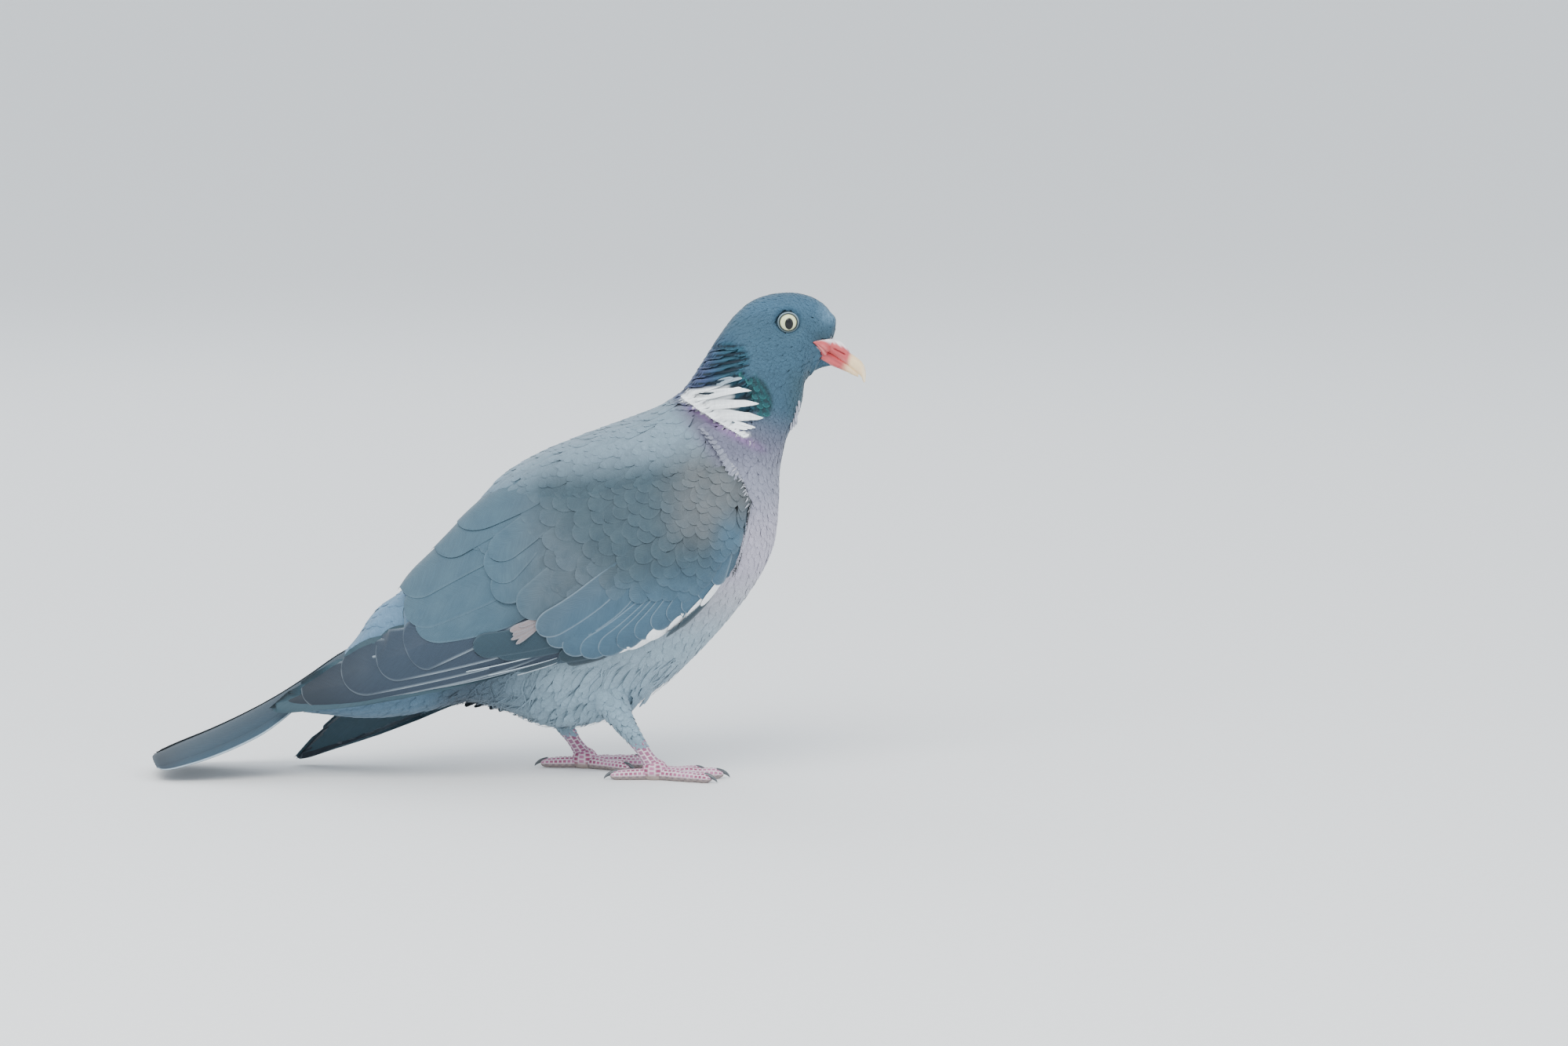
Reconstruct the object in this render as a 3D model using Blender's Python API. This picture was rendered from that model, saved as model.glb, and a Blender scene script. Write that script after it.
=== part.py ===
"""A wood pigeon standing, at life size, as a still model in twenty-seven closed solids.

The bird faces +X, its left side is +Y and the floor is z = 0. Sizes here are millimetres,
and every mesh is scaled to metres as it is made. The body is one smooth loft parted by thin
plane cuts. Wings, tail, bill and thighs are lofts of their own, trimmed to the body with a gap.
"""
import math

import bmesh
import bpy
import numpy as np

MM = 0.001
GAP = 0.3                # clear space between two pieces that touch
MERGE = 0.002            # points closer than this are one point
UP = np.array((0.0, 0.0, 1.0))
FLOOR = 0.0

# ---- body: (dorsal x, dorsal z, ventral x, ventral z, half width) from bill root to tail root
BODY_STATIONS = (
    (153.0, 204.5, 147.0, 195.5, 5.0),     # feathering at the bill root
    (154.0, 210.0, 144.5, 191.0, 6.8),     # forehead and chin
    (151.0, 218.5, 141.5, 188.0, 8.8),     # rising forehead, narrowing to the bill
    (144.5, 224.0, 139.5, 184.5, 11.4),    # front of the crown, before the eyes
    (136.5, 226.5, 139.0, 181.0, 13.4),    # crown over the eyes
    (126.5, 226.5, 138.5, 177.0, 14.0),    # widest head, behind the eyes
    (117.0, 224.0, 137.5, 172.5, 14.0),    # back of the crown
    (108.0, 217.5, 135.0, 166.0, 14.5),    # nape
    (99.0, 206.0, 131.5, 159.5, 16.0),     # upper neck
    (91.0, 193.5, 129.5, 152.0, 19.0),     # middle neck
    (83.0, 182.0, 128.0, 143.0, 24.0),     # lower neck
    (72.5, 174.5, 127.5, 128.5, 31.0),     # top of the breast
    (56.5, 168.0, 125.5, 110.0, 37.0),     # mantle and full breast
    (34.5, 160.0, 117.0, 91.0, 40.0),      # widest trunk
    (14.5, 151.5, 98.5, 67.0, 40.0),       # keel
    (-2.0, 141.5, 74.5, 43.5, 37.0),       # belly, before the legs
    (-15.0, 127.5, 45.0, 25.5, 32.0),      # lowest belly
    (-26.5, 114.5, 19.5, 22.5, 26.0),      # behind the legs
    (-37.5, 100.5, -1.0, 30.0, 23.0),      # vent
    (-48.5, 88.0, -18.0, 34.0, 21.0),      # lower back
    (-62.0, 77.5, -36.0, 30.0, 20.0),      # rump
    (-73.5, 61.5, -54.0, 27.0, 19.5),      # coverts of the tail
    (-84.0, 51.0, -70.0, 26.5, 17.0),      # ends of the upper coverts
    (-93.0, 42.0, -85.0, 28.0, 11.0),      # ends of the under coverts
)
BODY_SIDES = 24
BODY_RINGS = 46
BODY_POWER = 2.15        # sections a little fuller than an ellipse
NECK_STATION = 7.0       # the body is parted at these places along its stations
TRUNK_STATION = 11.0
RUMP_STATION = 19.0

# ---- wing: (upper x, y, z, lower x, y, z, outward bulge, thickness), for the right side
WING_STATIONS = (
    (112.5, -31.0, 137.5, 113.0, -32.0, 124.0, 1.5, 6.0),     # the wrist
    (107.5, -27.0, 149.0, 109.5, -31.0, 106.0, 9.0, 16.0),
    (97.0, -20.0, 160.5, 100.0, -33.0, 91.5, 15.5, 24.0),
    (79.0, -14.0, 166.5, 86.5, -35.0, 78.5, 21.0, 30.0),      # shoulder
    (57.0, -11.0, 165.5, 70.0, -36.0, 68.5, 24.0, 34.0),
    (33.0, -10.0, 157.5, 46.5, -36.0, 58.5, 24.0, 34.0),      # widest wing
    (9.5, -10.0, 146.0, 21.0, -34.5, 53.5, 22.0, 28.0),
    (-12.5, -9.5, 129.0, -5.0, -33.0, 47.5, 19.0, 19.0),
    (-32.0, -9.5, 109.0, -30.5, -32.0, 43.0, 15.5, 12.0),
    (-47.5, -11.0, 92.5, -48.0, -31.0, 40.0, 12.0, 8.5),      # tips of the inner flight feathers
    (-52.5, -14.0, 83.5, -57.0, -30.5, 38.5, 9.0, 7.0),
    (-55.0, -17.5, 72.0, -68.0, -30.0, 36.5, 6.5, 5.5),
    (-69.0, -20.5, 64.0, -79.0, -29.5, 35.0, 4.2, 4.2),       # folded primaries
    (-85.0, -23.0, 54.0, -93.0, -28.5, 33.5, 2.4, 3.0),
    (-101.5, -25.0, 42.5, -104.0, -27.5, 32.5, 1.0, 2.0),
    (-109.5, -26.0, 35.5, -110.0, -27.0, 33.0, 0.3, 1.2),     # wing tip
)
WING_SIDES = 16
WING_RINGS = 27
WING_FULLNESS = 0.66     # below 1, the section swells soon behind its edges
WRIST_X = 109.0
WING_TIP_X = -110.0
LEFT_DROOP = 31.0        # the left wing hangs this much lower at its tip than the right one
LEFT_FORWARD = 7.0       # and its tip swings this far forward
PRIMARIES_CUT = ((-45.0, 76.5), (27.0, 55.0))    # two points (x, z) on the parting plane

# ---- tail: (x, top z, half width, arch drop, thickness, end sweep)
TAIL_STATIONS = (
    (-61.0, 63.0, 9.0, 3.0, 6.0, 0.0),     # root, inside the coverts
    (-76.0, 56.0, 14.5, 7.0, 6.5, 0.0),
    (-92.0, 45.5, 20.0, 10.5, 6.0, 0.0),
    (-108.0, 35.5, 23.0, 12.0, 5.4, 0.0),
    (-124.0, 26.8, 25.0, 11.5, 4.8, 0.5),
    (-140.0, 19.2, 26.5, 10.0, 4.2, 1.5),
    (-155.0, 12.9, 27.5, 8.0, 3.6, 3.0),
    (-168.0, 7.6, 27.0, 6.4, 2.6, 5.0),    # tip
)
TAIL_SIDES = 22
TAIL_RINGS = 12
TAIL_POWER = 3.0         # flat faces with rounded edges

# ---- bill: (top x, top z, bottom x, bottom z, half width)
UPPER_BILL = (
    (147.0, 209.0, 138.0, 205.0, 4.0),
    (153.8, 205.8, 146.5, 200.9, 4.5),     # cere at the forehead
    (156.8, 203.5, 150.5, 198.7, 4.4),
    (159.0, 200.9, 154.0, 196.6, 4.0),     # swollen cere over the nostrils
    (161.0, 198.4, 157.0, 194.4, 3.3),
    (164.0, 196.2, 160.0, 192.2, 2.9),     # horny tip begins
    (166.3, 194.2, 162.4, 190.3, 2.6),
    (167.6, 191.7, 164.4, 188.9, 2.1),
    (168.1, 188.7, 165.8, 187.4, 1.4),
    (167.8, 184.8, 166.9, 184.8, 0.6),     # hooked tip
)
LOWER_BILL = (
    (139.0, 204.0, 137.0, 199.0, 3.4),
    (146.3, 200.5, 144.8, 196.0, 4.0),
    (150.2, 198.3, 149.0, 193.8, 3.9),
    (153.8, 196.2, 152.8, 192.2, 3.4),
    (157.0, 194.0, 156.4, 190.8, 2.9),
    (160.0, 191.8, 159.6, 189.4, 2.4),
    (162.4, 189.9, 162.2, 188.1, 1.8),
    (164.6, 188.2, 164.5, 187.2, 1.0),
)
BILL_SIDES = 12
BILL_POWER = 2.3

# ---- eyes
EYE_CENTRE = (131.8, 8.9, 213.8)
EYE_RADIUS = 4.9

# ---- legs, for the right side: centre of the foot, and each side's step back
FOOT_X = 69.5
FOOT_Y = -18.0
LEFT_STEP_BACK = 34.0
# (x, z, half depth, half width) down the thigh's feathering and the bare shank
THIGH_STATIONS = (
    (44.0, 50.0, 11.0, 9.5),
    (49.0, 37.0, 8.8, 8.0),
    (53.4, 28.5, 6.3, 5.8),
    (57.6, 22.5, 5.0, 4.5),
    (61.0, 17.8, 4.1, 3.6),
)
SHANK_STATIONS = (
    (61.2, 17.5, 3.7, 3.0),
    (64.0, 13.3, 3.1, 2.6),
    (67.0, 9.0, 3.5, 3.0),
    (68.6, 6.8, 4.2, 3.6),
)
LEG_SIDES = 12
# name: (heading in degrees from +X, length, root radius, tip radius, pads)
TOES = {
    "middle": (4.0, 32.0, 3.3, 2.5, 3),
    "outer": (-24.0, 29.0, 3.1, 2.3, 4),
    "inner": (33.0, 26.0, 3.1, 2.3, 2),
    "hind": (184.0, 21.0, 2.9, 2.3, 1),
}
TOE_SIDES = 8
TOE_RINGS = 8
TOE_RISE = 0.86          # height of a toe's middle line, as a share of its radius
PAD_WAIST = 0.07         # how much a toe narrows between its pads
BLUNT_SHARE = 0.12       # share of a toe's length that closes at its tip
BLUNT_END = 0.35         # radius left at the very tip
CLAW_SIDES = 6
CLAW_RINGS = 7
CLAW_LENGTH = 8.6
CLAW_RADIUS = 1.35
CLAW_TIP_RADIUS = 0.16
CLAW_TIP_HEIGHT = 0.5
CLAW_BEND = math.radians(78.0)
CLAW_EMBEDDED = 3.2      # length of the claw inside the toe
CLAW_ROOT_RISE = 0.6
HUB_RADII = (6.2, 4.9, 5.6)
HUB_RISE = 0.72          # height of the hub's centre, as a share of its upright radius
TRIM = 1.1               # cutters are grown by this many gaps
SOCKET = 1.2             # eye sockets are this many gaps wider than the ball

COLOURS = {
    "head": (0.12, 0.20, 0.28),
    "neck": (0.10, 0.19, 0.24),
    "breast": (0.46, 0.44, 0.50),
    "rump": (0.32, 0.42, 0.50),
    "wing": (0.22, 0.28, 0.33),
    "primaries": (0.08, 0.11, 0.15),
    "tail": (0.12, 0.19, 0.25),
    "belly": (0.36, 0.43, 0.48),
    "bill_red": (0.55, 0.20, 0.19),
    "bill_pale": (0.78, 0.58, 0.42),
    "eye": (0.70, 0.72, 0.50),
    "leg": (0.50, 0.22, 0.33),
    "claw": (0.07, 0.08, 0.09),
}
ROUGHNESS = {"eye": 0.08, "bill_red": 0.4, "bill_pale": 0.35, "claw": 0.35, "leg": 0.5}


def clear_scene():
    for item in list(bpy.data.objects):
        bpy.data.objects.remove(item, do_unlink=True)


def material(name, colour):
    """A Principled material in one of the named colours."""
    made = bpy.data.materials.new(name)
    made.use_nodes = True
    shader = made.node_tree.nodes["Principled BSDF"]
    shader.inputs["Base Color"].default_value = (*COLOURS[colour], 1.0)
    shader.inputs["Roughness"].default_value = ROUGHNESS.get(colour, 0.75)
    shader.inputs["Metallic"].default_value = 0.0
    made.diffuse_color = (*COLOURS[colour], 1.0)
    return made


def smooth_rows(rows, places):
    """Rows read between stations: cubic curves whose slopes follow the neighbours.

    The knots are the distances run along the middle of the shape, so that stations close
    together bend no more than stations far apart. Places count in stations.
    """
    rows = np.asarray(rows, float)
    middle = rows[:, :2] if rows.shape[1] < 5 else 0.5 * (rows[:, 0:2] + rows[:, 2:4])
    steps = np.maximum(np.linalg.norm(np.diff(middle, axis=0), axis=1), 1.0)
    slopes = np.diff(rows, axis=0) / steps[:, None]
    tangents = np.empty_like(rows)
    tangents[0] = slopes[0]
    tangents[-1] = slopes[-1]
    before = steps[:-1, None]
    after = steps[1:, None]
    tangents[1:-1] = (slopes[:-1] * after + slopes[1:] * before) / (before + after)
    places = np.clip(np.asarray(places, float), 0.0, len(rows) - 1.0)
    index = np.minimum(places.astype(int), len(rows) - 2)
    t = (places - index)[:, None]
    span = steps[index][:, None]
    start = rows[index] * (2 * t**3 - 3 * t**2 + 1) + tangents[index] * span * (t**3 - 2 * t**2 + t)
    end = rows[index + 1] * (3 * t**2 - 2 * t**3) + tangents[index + 1] * span * (t**3 - t**2)
    return start + end


def rounded(value, power):
    """Cosine or sine bent towards a superellipse."""
    return np.sign(value) * np.abs(value) ** (2.0 / power)


def body_rings(places):
    """Closed sections of the body: superellipses between the dorsal and ventral lines."""
    rows = smooth_rows(BODY_STATIONS, places)
    angle = 2 * np.pi * np.arange(BODY_SIDES) / BODY_SIDES
    along = rounded(np.cos(angle), BODY_POWER)
    across = rounded(np.sin(angle), BODY_POWER)
    centre = 0.5 * (rows[:, 0:2] + rows[:, 2:4])
    reach = 0.5 * (rows[:, 0:2] - rows[:, 2:4])
    rings = np.empty((len(rows), BODY_SIDES, 3))
    rings[:, :, 0] = centre[:, None, 0] + along * reach[:, None, 0]
    rings[:, :, 1] = across * rows[:, None, 4]
    rings[:, :, 2] = centre[:, None, 1] + along * reach[:, None, 1]
    return rings


def loft_object(name, rings, colour=None):
    """A closed object through a stack of rings, with flat ends."""
    rings = np.asarray(rings)
    count, sides, _ = rings.shape
    work = bmesh.new()
    grid = [[work.verts.new(point) for point in ring] for ring in rings * MM]
    for i in range(count - 1):
        for j in range(sides):
            k = (j + 1) % sides
            work.faces.new((grid[i][j], grid[i][k], grid[i + 1][k], grid[i + 1][j]))
    work.faces.new(grid[0])
    work.faces.new(list(reversed(grid[-1])))
    return object_from(work, name, colour)


def object_from(work, name, colour=None):
    """Turns a closed bmesh into an object with outward faces and smooth shading."""
    bmesh.ops.triangulate(work, faces=[face for face in work.faces if len(face.verts) > 4])
    bmesh.ops.recalc_face_normals(work, faces=work.faces)
    mesh = bpy.data.meshes.new(name)
    work.to_mesh(mesh)
    work.free()
    mesh.shade_smooth()
    mesh.set_sharp_from_angle(angle=math.radians(50))
    made = bpy.data.objects.new(name, mesh)
    bpy.context.scene.collection.objects.link(made)
    if colour:
        mesh.materials.append(material(name + "_finish", colour))
    return made


def grown(source, name):
    """A copy of a closed object pushed outward by the gap, for trimming its neighbours."""
    mesh = source.data.copy()
    points = np.empty(len(mesh.vertices) * 3)
    normals = np.empty(len(mesh.vertices) * 3)
    mesh.vertices.foreach_get("co", points)
    mesh.vertices.foreach_get("normal", normals)
    mesh.vertices.foreach_set("co", points + normals * GAP * MM * TRIM)
    mesh.update()
    made = bpy.data.objects.new(name, mesh)
    bpy.context.scene.collection.objects.link(made)
    return made


def combine(target, others, operation, solver="EXACT"):
    """Cuts the others from the target, or joins them to it, and keeps the result as its mesh."""
    for other in others:
        step = target.modifiers.new(operation.lower(), "BOOLEAN")
        step.operation = operation
        step.solver = solver
        step.object = other
    depsgraph = bpy.context.evaluated_depsgraph_get()
    shape = bpy.data.meshes.new_from_object(target.evaluated_get(depsgraph))
    target.modifiers.clear()
    target.data = shape


def split(source, point, normal, keep_front, shift=0.0):
    """Keeps one side of a plane (point and normal in mm) and closes the cut."""
    normal = np.array(normal, float) / np.linalg.norm(normal)
    work = bmesh.new()
    work.from_mesh(source.data)
    place = (np.array(point, float) + normal * shift) * MM
    bmesh.ops.bisect_plane(
        work, geom=work.verts[:] + work.edges[:] + work.faces[:], plane_co=place,
        plane_no=normal, clear_inner=keep_front, clear_outer=not keep_front)
    edges = [edge for edge in work.edges if edge.is_boundary]
    bmesh.ops.holes_fill(work, edges=edges, sides=0)
    bmesh.ops.triangulate(work, faces=work.faces)
    bmesh.ops.recalc_face_normals(work, faces=work.faces)
    work.to_mesh(source.data)
    work.free()


def tidy(target):
    """Joins points that a cut left almost on each other, and makes every face a triangle."""
    work = bmesh.new()
    work.from_mesh(target.data)
    bmesh.ops.remove_doubles(work, verts=work.verts, dist=MERGE * MM)
    bmesh.ops.triangulate(work, faces=work.faces)
    work.to_mesh(target.data)
    work.free()


def remove(*items):
    for item in items:
        bpy.data.objects.remove(item, do_unlink=True)


def make_body():
    """Head, neck, trunk and rump: one loft, parted square to its sections."""
    last = len(BODY_STATIONS) - 1
    cuts = (0.0, NECK_STATION, TRUNK_STATION, RUMP_STATION, float(last))
    names = (("head", "head"), ("neck", "neck"), ("trunk", "breast"), ("rump", "rump"))
    per_station = BODY_RINGS / last
    parts = {}
    for (name, colour), start, end in zip(names, cuts[:-1], cuts[1:]):
        count = max(3, round((end - start) * per_station) + 1)
        rings = body_rings(np.linspace(start, end, count))
        for ring, side, open_end in ((0, 1.0, start > 0), (-1, -1.0, end < last)):
            if open_end:
                edge_a = rings[ring][0] - rings[ring][BODY_SIDES // 2]
                normal = np.cross(edge_a, (0.0, 1.0, 0.0))
                normal /= np.linalg.norm(normal)
                inward = rings[ring + (1 if side > 0 else -1)].mean(axis=0) - rings[ring].mean(axis=0)
                normal *= np.sign(normal @ inward)
                rings[ring] = rings[ring] + normal * GAP / 2
        parts[name] = loft_object(name, rings, colour)
    whole = loft_object("body_outline", body_rings(np.linspace(0, last, BODY_RINGS + 1)))
    return parts, whole


def droop(x):
    """How far along the left wing's hang a place is: nought at the wrist, one at the tip."""
    return np.clip((WRIST_X - np.asarray(x)) / (WRIST_X - WING_TIP_X), 0.0, None) ** 1.5


def wing_rings(side):
    """Lens sections of the folded wing; side is -1 on the right and +1 on the left."""
    last = len(WING_STATIONS) - 1
    rows = np.asarray(WING_STATIONS, float)
    order = [0, 2, 3, 5, 1, 4, 6, 7]
    rows = smooth_rows(rows[:, order], np.linspace(0, last, WING_RINGS))
    upper = np.stack([rows[:, 0], rows[:, 4], rows[:, 1]], axis=1)
    lower = np.stack([rows[:, 2], rows[:, 5], rows[:, 3]], axis=1)
    bulge = rows[:, 6]
    thick = rows[:, 7]
    half = WING_SIDES // 2
    run = 0.5 - 0.5 * np.cos(np.pi * np.arange(half + 1) / half)
    crown = np.sin(np.pi * run) ** WING_FULLNESS
    line = upper[:, None, :] + (lower - upper)[:, None, :] * run[None, :, None]
    outer = line.copy()
    outer[:, :, 1] -= bulge[:, None] * crown
    outer[:, 0, 1] -= 0.3
    outer[:, -1, 1] -= 0.3
    inner = line[:, 1:-1].copy()
    inner[:, :, 1] -= (bulge[:, None] - thick[:, None]) * crown[1:-1]
    rings = np.concatenate([outer, inner[:, ::-1]], axis=1)
    if side > 0:
        rings[:, :, 1] *= -1.0
        hang = droop(rings[:, :, 0])
        rings[:, :, 0] += LEFT_FORWARD * hang
        rings[:, :, 2] -= LEFT_DROOP * hang
    return rings


def make_wings(body_cutter):
    """Each folded wing, trimmed to the body and parted from its primaries."""
    made = {}
    for side_name, side in (("right", -1.0), ("left", 1.0)):
        (x0, z0), (x1, z1) = PRIMARIES_CUT
        if side > 0:
            z0 -= LEFT_DROOP * droop(x0)
            z1 -= LEFT_DROOP * droop(x1)
            x0 += LEFT_FORWARD * droop(x0)
            x1 += LEFT_FORWARD * droop(x1)
        up = (z0 - z1, 0.0, x1 - x0)
        for part, front, colour in (("wing_", True, "wing"), ("primaries_", False, "primaries")):
            name = part + side_name
            piece = loft_object(name, wing_rings(side), colour)
            split(piece, (x0, 0.0, z0), up, front, GAP / 2 if front else -GAP / 2)
            # the exact solver loses a blade that clears the body everywhere
            combine(piece, [body_cutter], "DIFFERENCE", "EXACT" if front else "MANIFOLD")
            tidy(piece)
            made[name] = piece
    return made


def tail_rings():
    """Arched sections of the closed tail, roof-shaped, thin at the edges."""
    last = len(TAIL_STATIONS) - 1
    rows = smooth_rows(TAIL_STATIONS, np.linspace(0, last, TAIL_RINGS))
    angle = 2 * np.pi * np.arange(TAIL_SIDES) / TAIL_SIDES
    across = np.cos(angle)
    height = rounded(np.sin(angle), TAIL_POWER)
    rings = np.empty((len(rows), TAIL_SIDES, 3))
    rings[:, :, 0] = rows[:, None, 0] + rows[:, None, 5] * across ** 2
    rings[:, :, 1] = rows[:, None, 2] * across
    arch = rows[:, None, 3] * across ** 2
    rings[:, :, 2] = rows[:, None, 1] - arch + 0.5 * rows[:, None, 4] * (height - 1.0)
    return rings


def make_tail(cutters):
    tail = loft_object("tail", tail_rings(), "tail")
    combine(tail, cutters, "DIFFERENCE")
    tidy(tail)
    block = floor_block()
    # the exact solver leaves slits where the floor only grazes the tail's thin edges
    combine(tail, [block], "DIFFERENCE", "MANIFOLD")
    tidy(tail)
    remove(block)
    return tail


def bill_rings(stations, count):
    rows = smooth_rows(stations, np.linspace(0, len(stations) - 1, count))
    angle = 2 * np.pi * np.arange(BILL_SIDES) / BILL_SIDES
    along = rounded(np.cos(angle), BILL_POWER)
    across = rounded(np.sin(angle), BILL_POWER)
    centre = 0.5 * (rows[:, 0:2] + rows[:, 2:4])
    reach = 0.5 * (rows[:, 0:2] - rows[:, 2:4])
    rings = np.empty((count, BILL_SIDES, 3))
    rings[:, :, 0] = centre[:, None, 0] + along * reach[:, None, 0]
    rings[:, :, 1] = across * rows[:, None, 4]
    rings[:, :, 2] = centre[:, None, 1] + along * reach[:, None, 1]
    return rings


def make_bill(body_cutter):
    upper = loft_object("bill_upper", bill_rings(UPPER_BILL, 14), "bill_pale")
    combine(upper, [body_cutter], "DIFFERENCE")
    tidy(upper)
    upper_cutter = grown(upper, "bill_cutter")
    lower = loft_object("bill_lower", bill_rings(LOWER_BILL, 10), "bill_red")
    combine(lower, [body_cutter, upper_cutter], "DIFFERENCE")
    tidy(lower)
    remove(upper_cutter)
    return upper, lower


def ball(name, centre, radii, colour=None):
    """A ball of 12 by 8 faces, scaled to its radii."""
    work = bmesh.new()
    bmesh.ops.create_uvsphere(work, u_segments=12, v_segments=8, radius=1.0)
    for vert in work.verts:
        vert.co = [(c + r * p) * MM for c, r, p in zip(centre, radii, vert.co)]
    return object_from(work, name, colour)


def floor_block():
    """A block under the floor, for cutting flat soles."""
    work = bmesh.new()
    bmesh.ops.create_cube(work, size=1.0)
    for vert in work.verts:
        vert.co = (vert.co.x * 0.8, vert.co.y * 0.8, (vert.co.z - 0.5) * 0.02 + FLOOR * MM)
    return object_from(work, "floor_block")


def make_eyes(head):
    """Eyeballs, each in a socket cut the gap wider than the ball."""
    x, y, z = EYE_CENTRE
    for name, side in (("eye_left", 1.0), ("eye_right", -1.0)):
        centre = (x, y * side, z)
        socket = ball("socket", centre, (EYE_RADIUS + GAP * SOCKET,) * 3)
        combine(head, [socket], "DIFFERENCE")
        remove(socket)
        ball(name, centre, (EYE_RADIUS,) * 3, "eye")
    tidy(head)


def leg_rings(stations, count, y):
    """Oval sections down a leg; a row holds x, z, half depth and half width."""
    rows = smooth_rows(stations, np.linspace(0, len(stations) - 1, count))
    angle = 2 * np.pi * np.arange(LEG_SIDES) / LEG_SIDES
    rings = np.empty((count, LEG_SIDES, 3))
    rings[:, :, 0] = rows[:, None, 0] + rows[:, None, 2] * np.cos(angle) * 0.95
    rings[:, :, 1] = y + rows[:, None, 3] * np.sin(angle)
    rings[:, :, 2] = rows[:, None, 1] + rows[:, None, 2] * np.cos(angle) * 0.30
    return rings


def toe_frame(toe, side):
    """The way a toe points along the floor, and the way beside it."""
    turn = math.radians(TOES[toe][0]) * -side
    ahead = np.array((math.cos(turn), math.sin(turn), 0.0))
    beside = np.array((-ahead[1], ahead[0], 0.0))
    return ahead, beside


def toe_rings(toe, hub, side):
    """A toe along the floor: round, a little waisted between its pads, blunt at the tip."""
    _, length, root, tip, pads = TOES[toe]
    ahead, beside = toe_frame(toe, side)
    t = np.linspace(0.0, 1.0, TOE_RINGS)
    slim = root + (tip - root) * t
    blunt = np.sqrt(np.clip((1.0 - t) / BLUNT_SHARE, 0.0, 1.0))
    radius = slim * (1.0 - PAD_WAIST * np.cos(2 * np.pi * pads * (1.0 - t)))
    radius = radius * (BLUNT_END + (1.0 - BLUNT_END) * blunt)
    height = TOE_RISE * slim
    angle = 2 * np.pi * np.arange(TOE_SIDES) / TOE_SIDES
    rings = np.array(hub)[None, None, :] + (t * length)[:, None, None] * ahead
    rings = rings + (radius[:, None] * np.sin(angle))[:, :, None] * beside
    return rings + (height[:, None] + radius[:, None] * np.cos(angle))[:, :, None] * UP


def claw_rings(toe, hub, side):
    """A claw that leaves the top of the toe's tip and curves down to just above the floor."""
    _, length, _, tip, _ = TOES[toe]
    ahead, beside = toe_frame(toe, side)
    t = np.linspace(0.0, 1.0, CLAW_RINGS)
    swing = t * CLAW_BEND
    run = CLAW_LENGTH / CLAW_BEND
    forward = length - CLAW_EMBEDDED + run * np.sin(swing)
    height = 1.25 * tip + CLAW_ROOT_RISE - run * (1.0 - np.cos(swing))
    height = height + (CLAW_TIP_HEIGHT - height[-1]) * t ** 2
    radius = CLAW_RADIUS * (1.0 - t) ** 0.8 + CLAW_TIP_RADIUS
    angle = 2 * np.pi * np.arange(CLAW_SIDES) / CLAW_SIDES
    middle = np.array(hub) + forward[:, None] * ahead + height[:, None] * UP
    normal = np.cos(swing)[:, None] * UP + np.sin(swing)[:, None] * ahead
    rings = middle[:, None, :] + (radius[:, None] * np.sin(angle))[:, :, None] * beside * 0.8
    return rings + (radius[:, None] * np.cos(angle))[:, :, None] * normal[:, None, :]


def make_leg(side_name, side, body_cutter):
    """Thigh, shank, foot and four claws of one side."""
    x = FOOT_X - (LEFT_STEP_BACK if side > 0 else 0.0)
    y = -FOOT_Y * side
    step = np.array((x - FOOT_X, 0.0, 0.0))
    thigh = loft_object("thigh_" + side_name, leg_rings(THIGH_STATIONS, 9, y) + step, "belly")
    combine(thigh, [body_cutter], "DIFFERENCE")
    split(thigh, (0.0, 0.0, THIGH_STATIONS[-1][1]), (0.0, 0.0, 1.0), True, GAP / 2)
    tidy(thigh)
    shank = loft_object("shank_" + side_name, leg_rings(SHANK_STATIONS, 6, y) + step, "leg")
    split(shank, (0.0, 0.0, THIGH_STATIONS[-1][1]), (0.0, 0.0, 1.0), False, -GAP / 2)
    hub = (x, y, 0.0)
    foot = ball("foot_" + side_name, (x, y, HUB_RADII[2] * HUB_RISE), HUB_RADII, "leg")
    toes = [loft_object("toe_" + toe, toe_rings(toe, hub, side)) for toe in TOES]
    combine(foot, toes, "UNION")
    block = floor_block()
    combine(foot, [block], "DIFFERENCE")
    tidy(foot)
    remove(block, *toes)
    foot_cutter = grown(foot, "foot_cutter")
    combine(shank, [foot_cutter], "DIFFERENCE")
    tidy(shank)
    for toe in TOES:
        claw = loft_object(f"claw_{toe}_{side_name}", claw_rings(toe, hub, side), "claw")
        combine(claw, [foot_cutter], "DIFFERENCE")
        tidy(claw)
    remove(foot_cutter)


def main():
    clear_scene()
    parts, outline = make_body()
    body_cutter = grown(outline, "body_cutter")
    make_eyes(parts["head"])
    make_bill(body_cutter)
    wings = make_wings(body_cutter)
    wing_cutters = [grown(wing, name + "_cutter") for name, wing in wings.items()]
    make_tail([body_cutter] + wing_cutters)
    make_leg("right", -1.0, body_cutter)
    make_leg("left", 1.0, body_cutter)
    remove(outline, body_cutter, *wing_cutters)


main()
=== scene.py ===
# %% [markdown]
# # A wood pigeon, standing
# This lesson dresses the plain solids of a life-size wood pigeon. A bird's outline is made by
# its feathers, which lie over each other like tiles, so the feathers are real here: thin vanes
# laid along the body in rows, each one a few triangles. The bill, eyes, legs and claws are
# smooth surfaces made from formulas. First the frame is loaded.

# %% Load the frame
import math

import bpy
import numpy as np
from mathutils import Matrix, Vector
from mathutils.kdtree import KDTree


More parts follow.
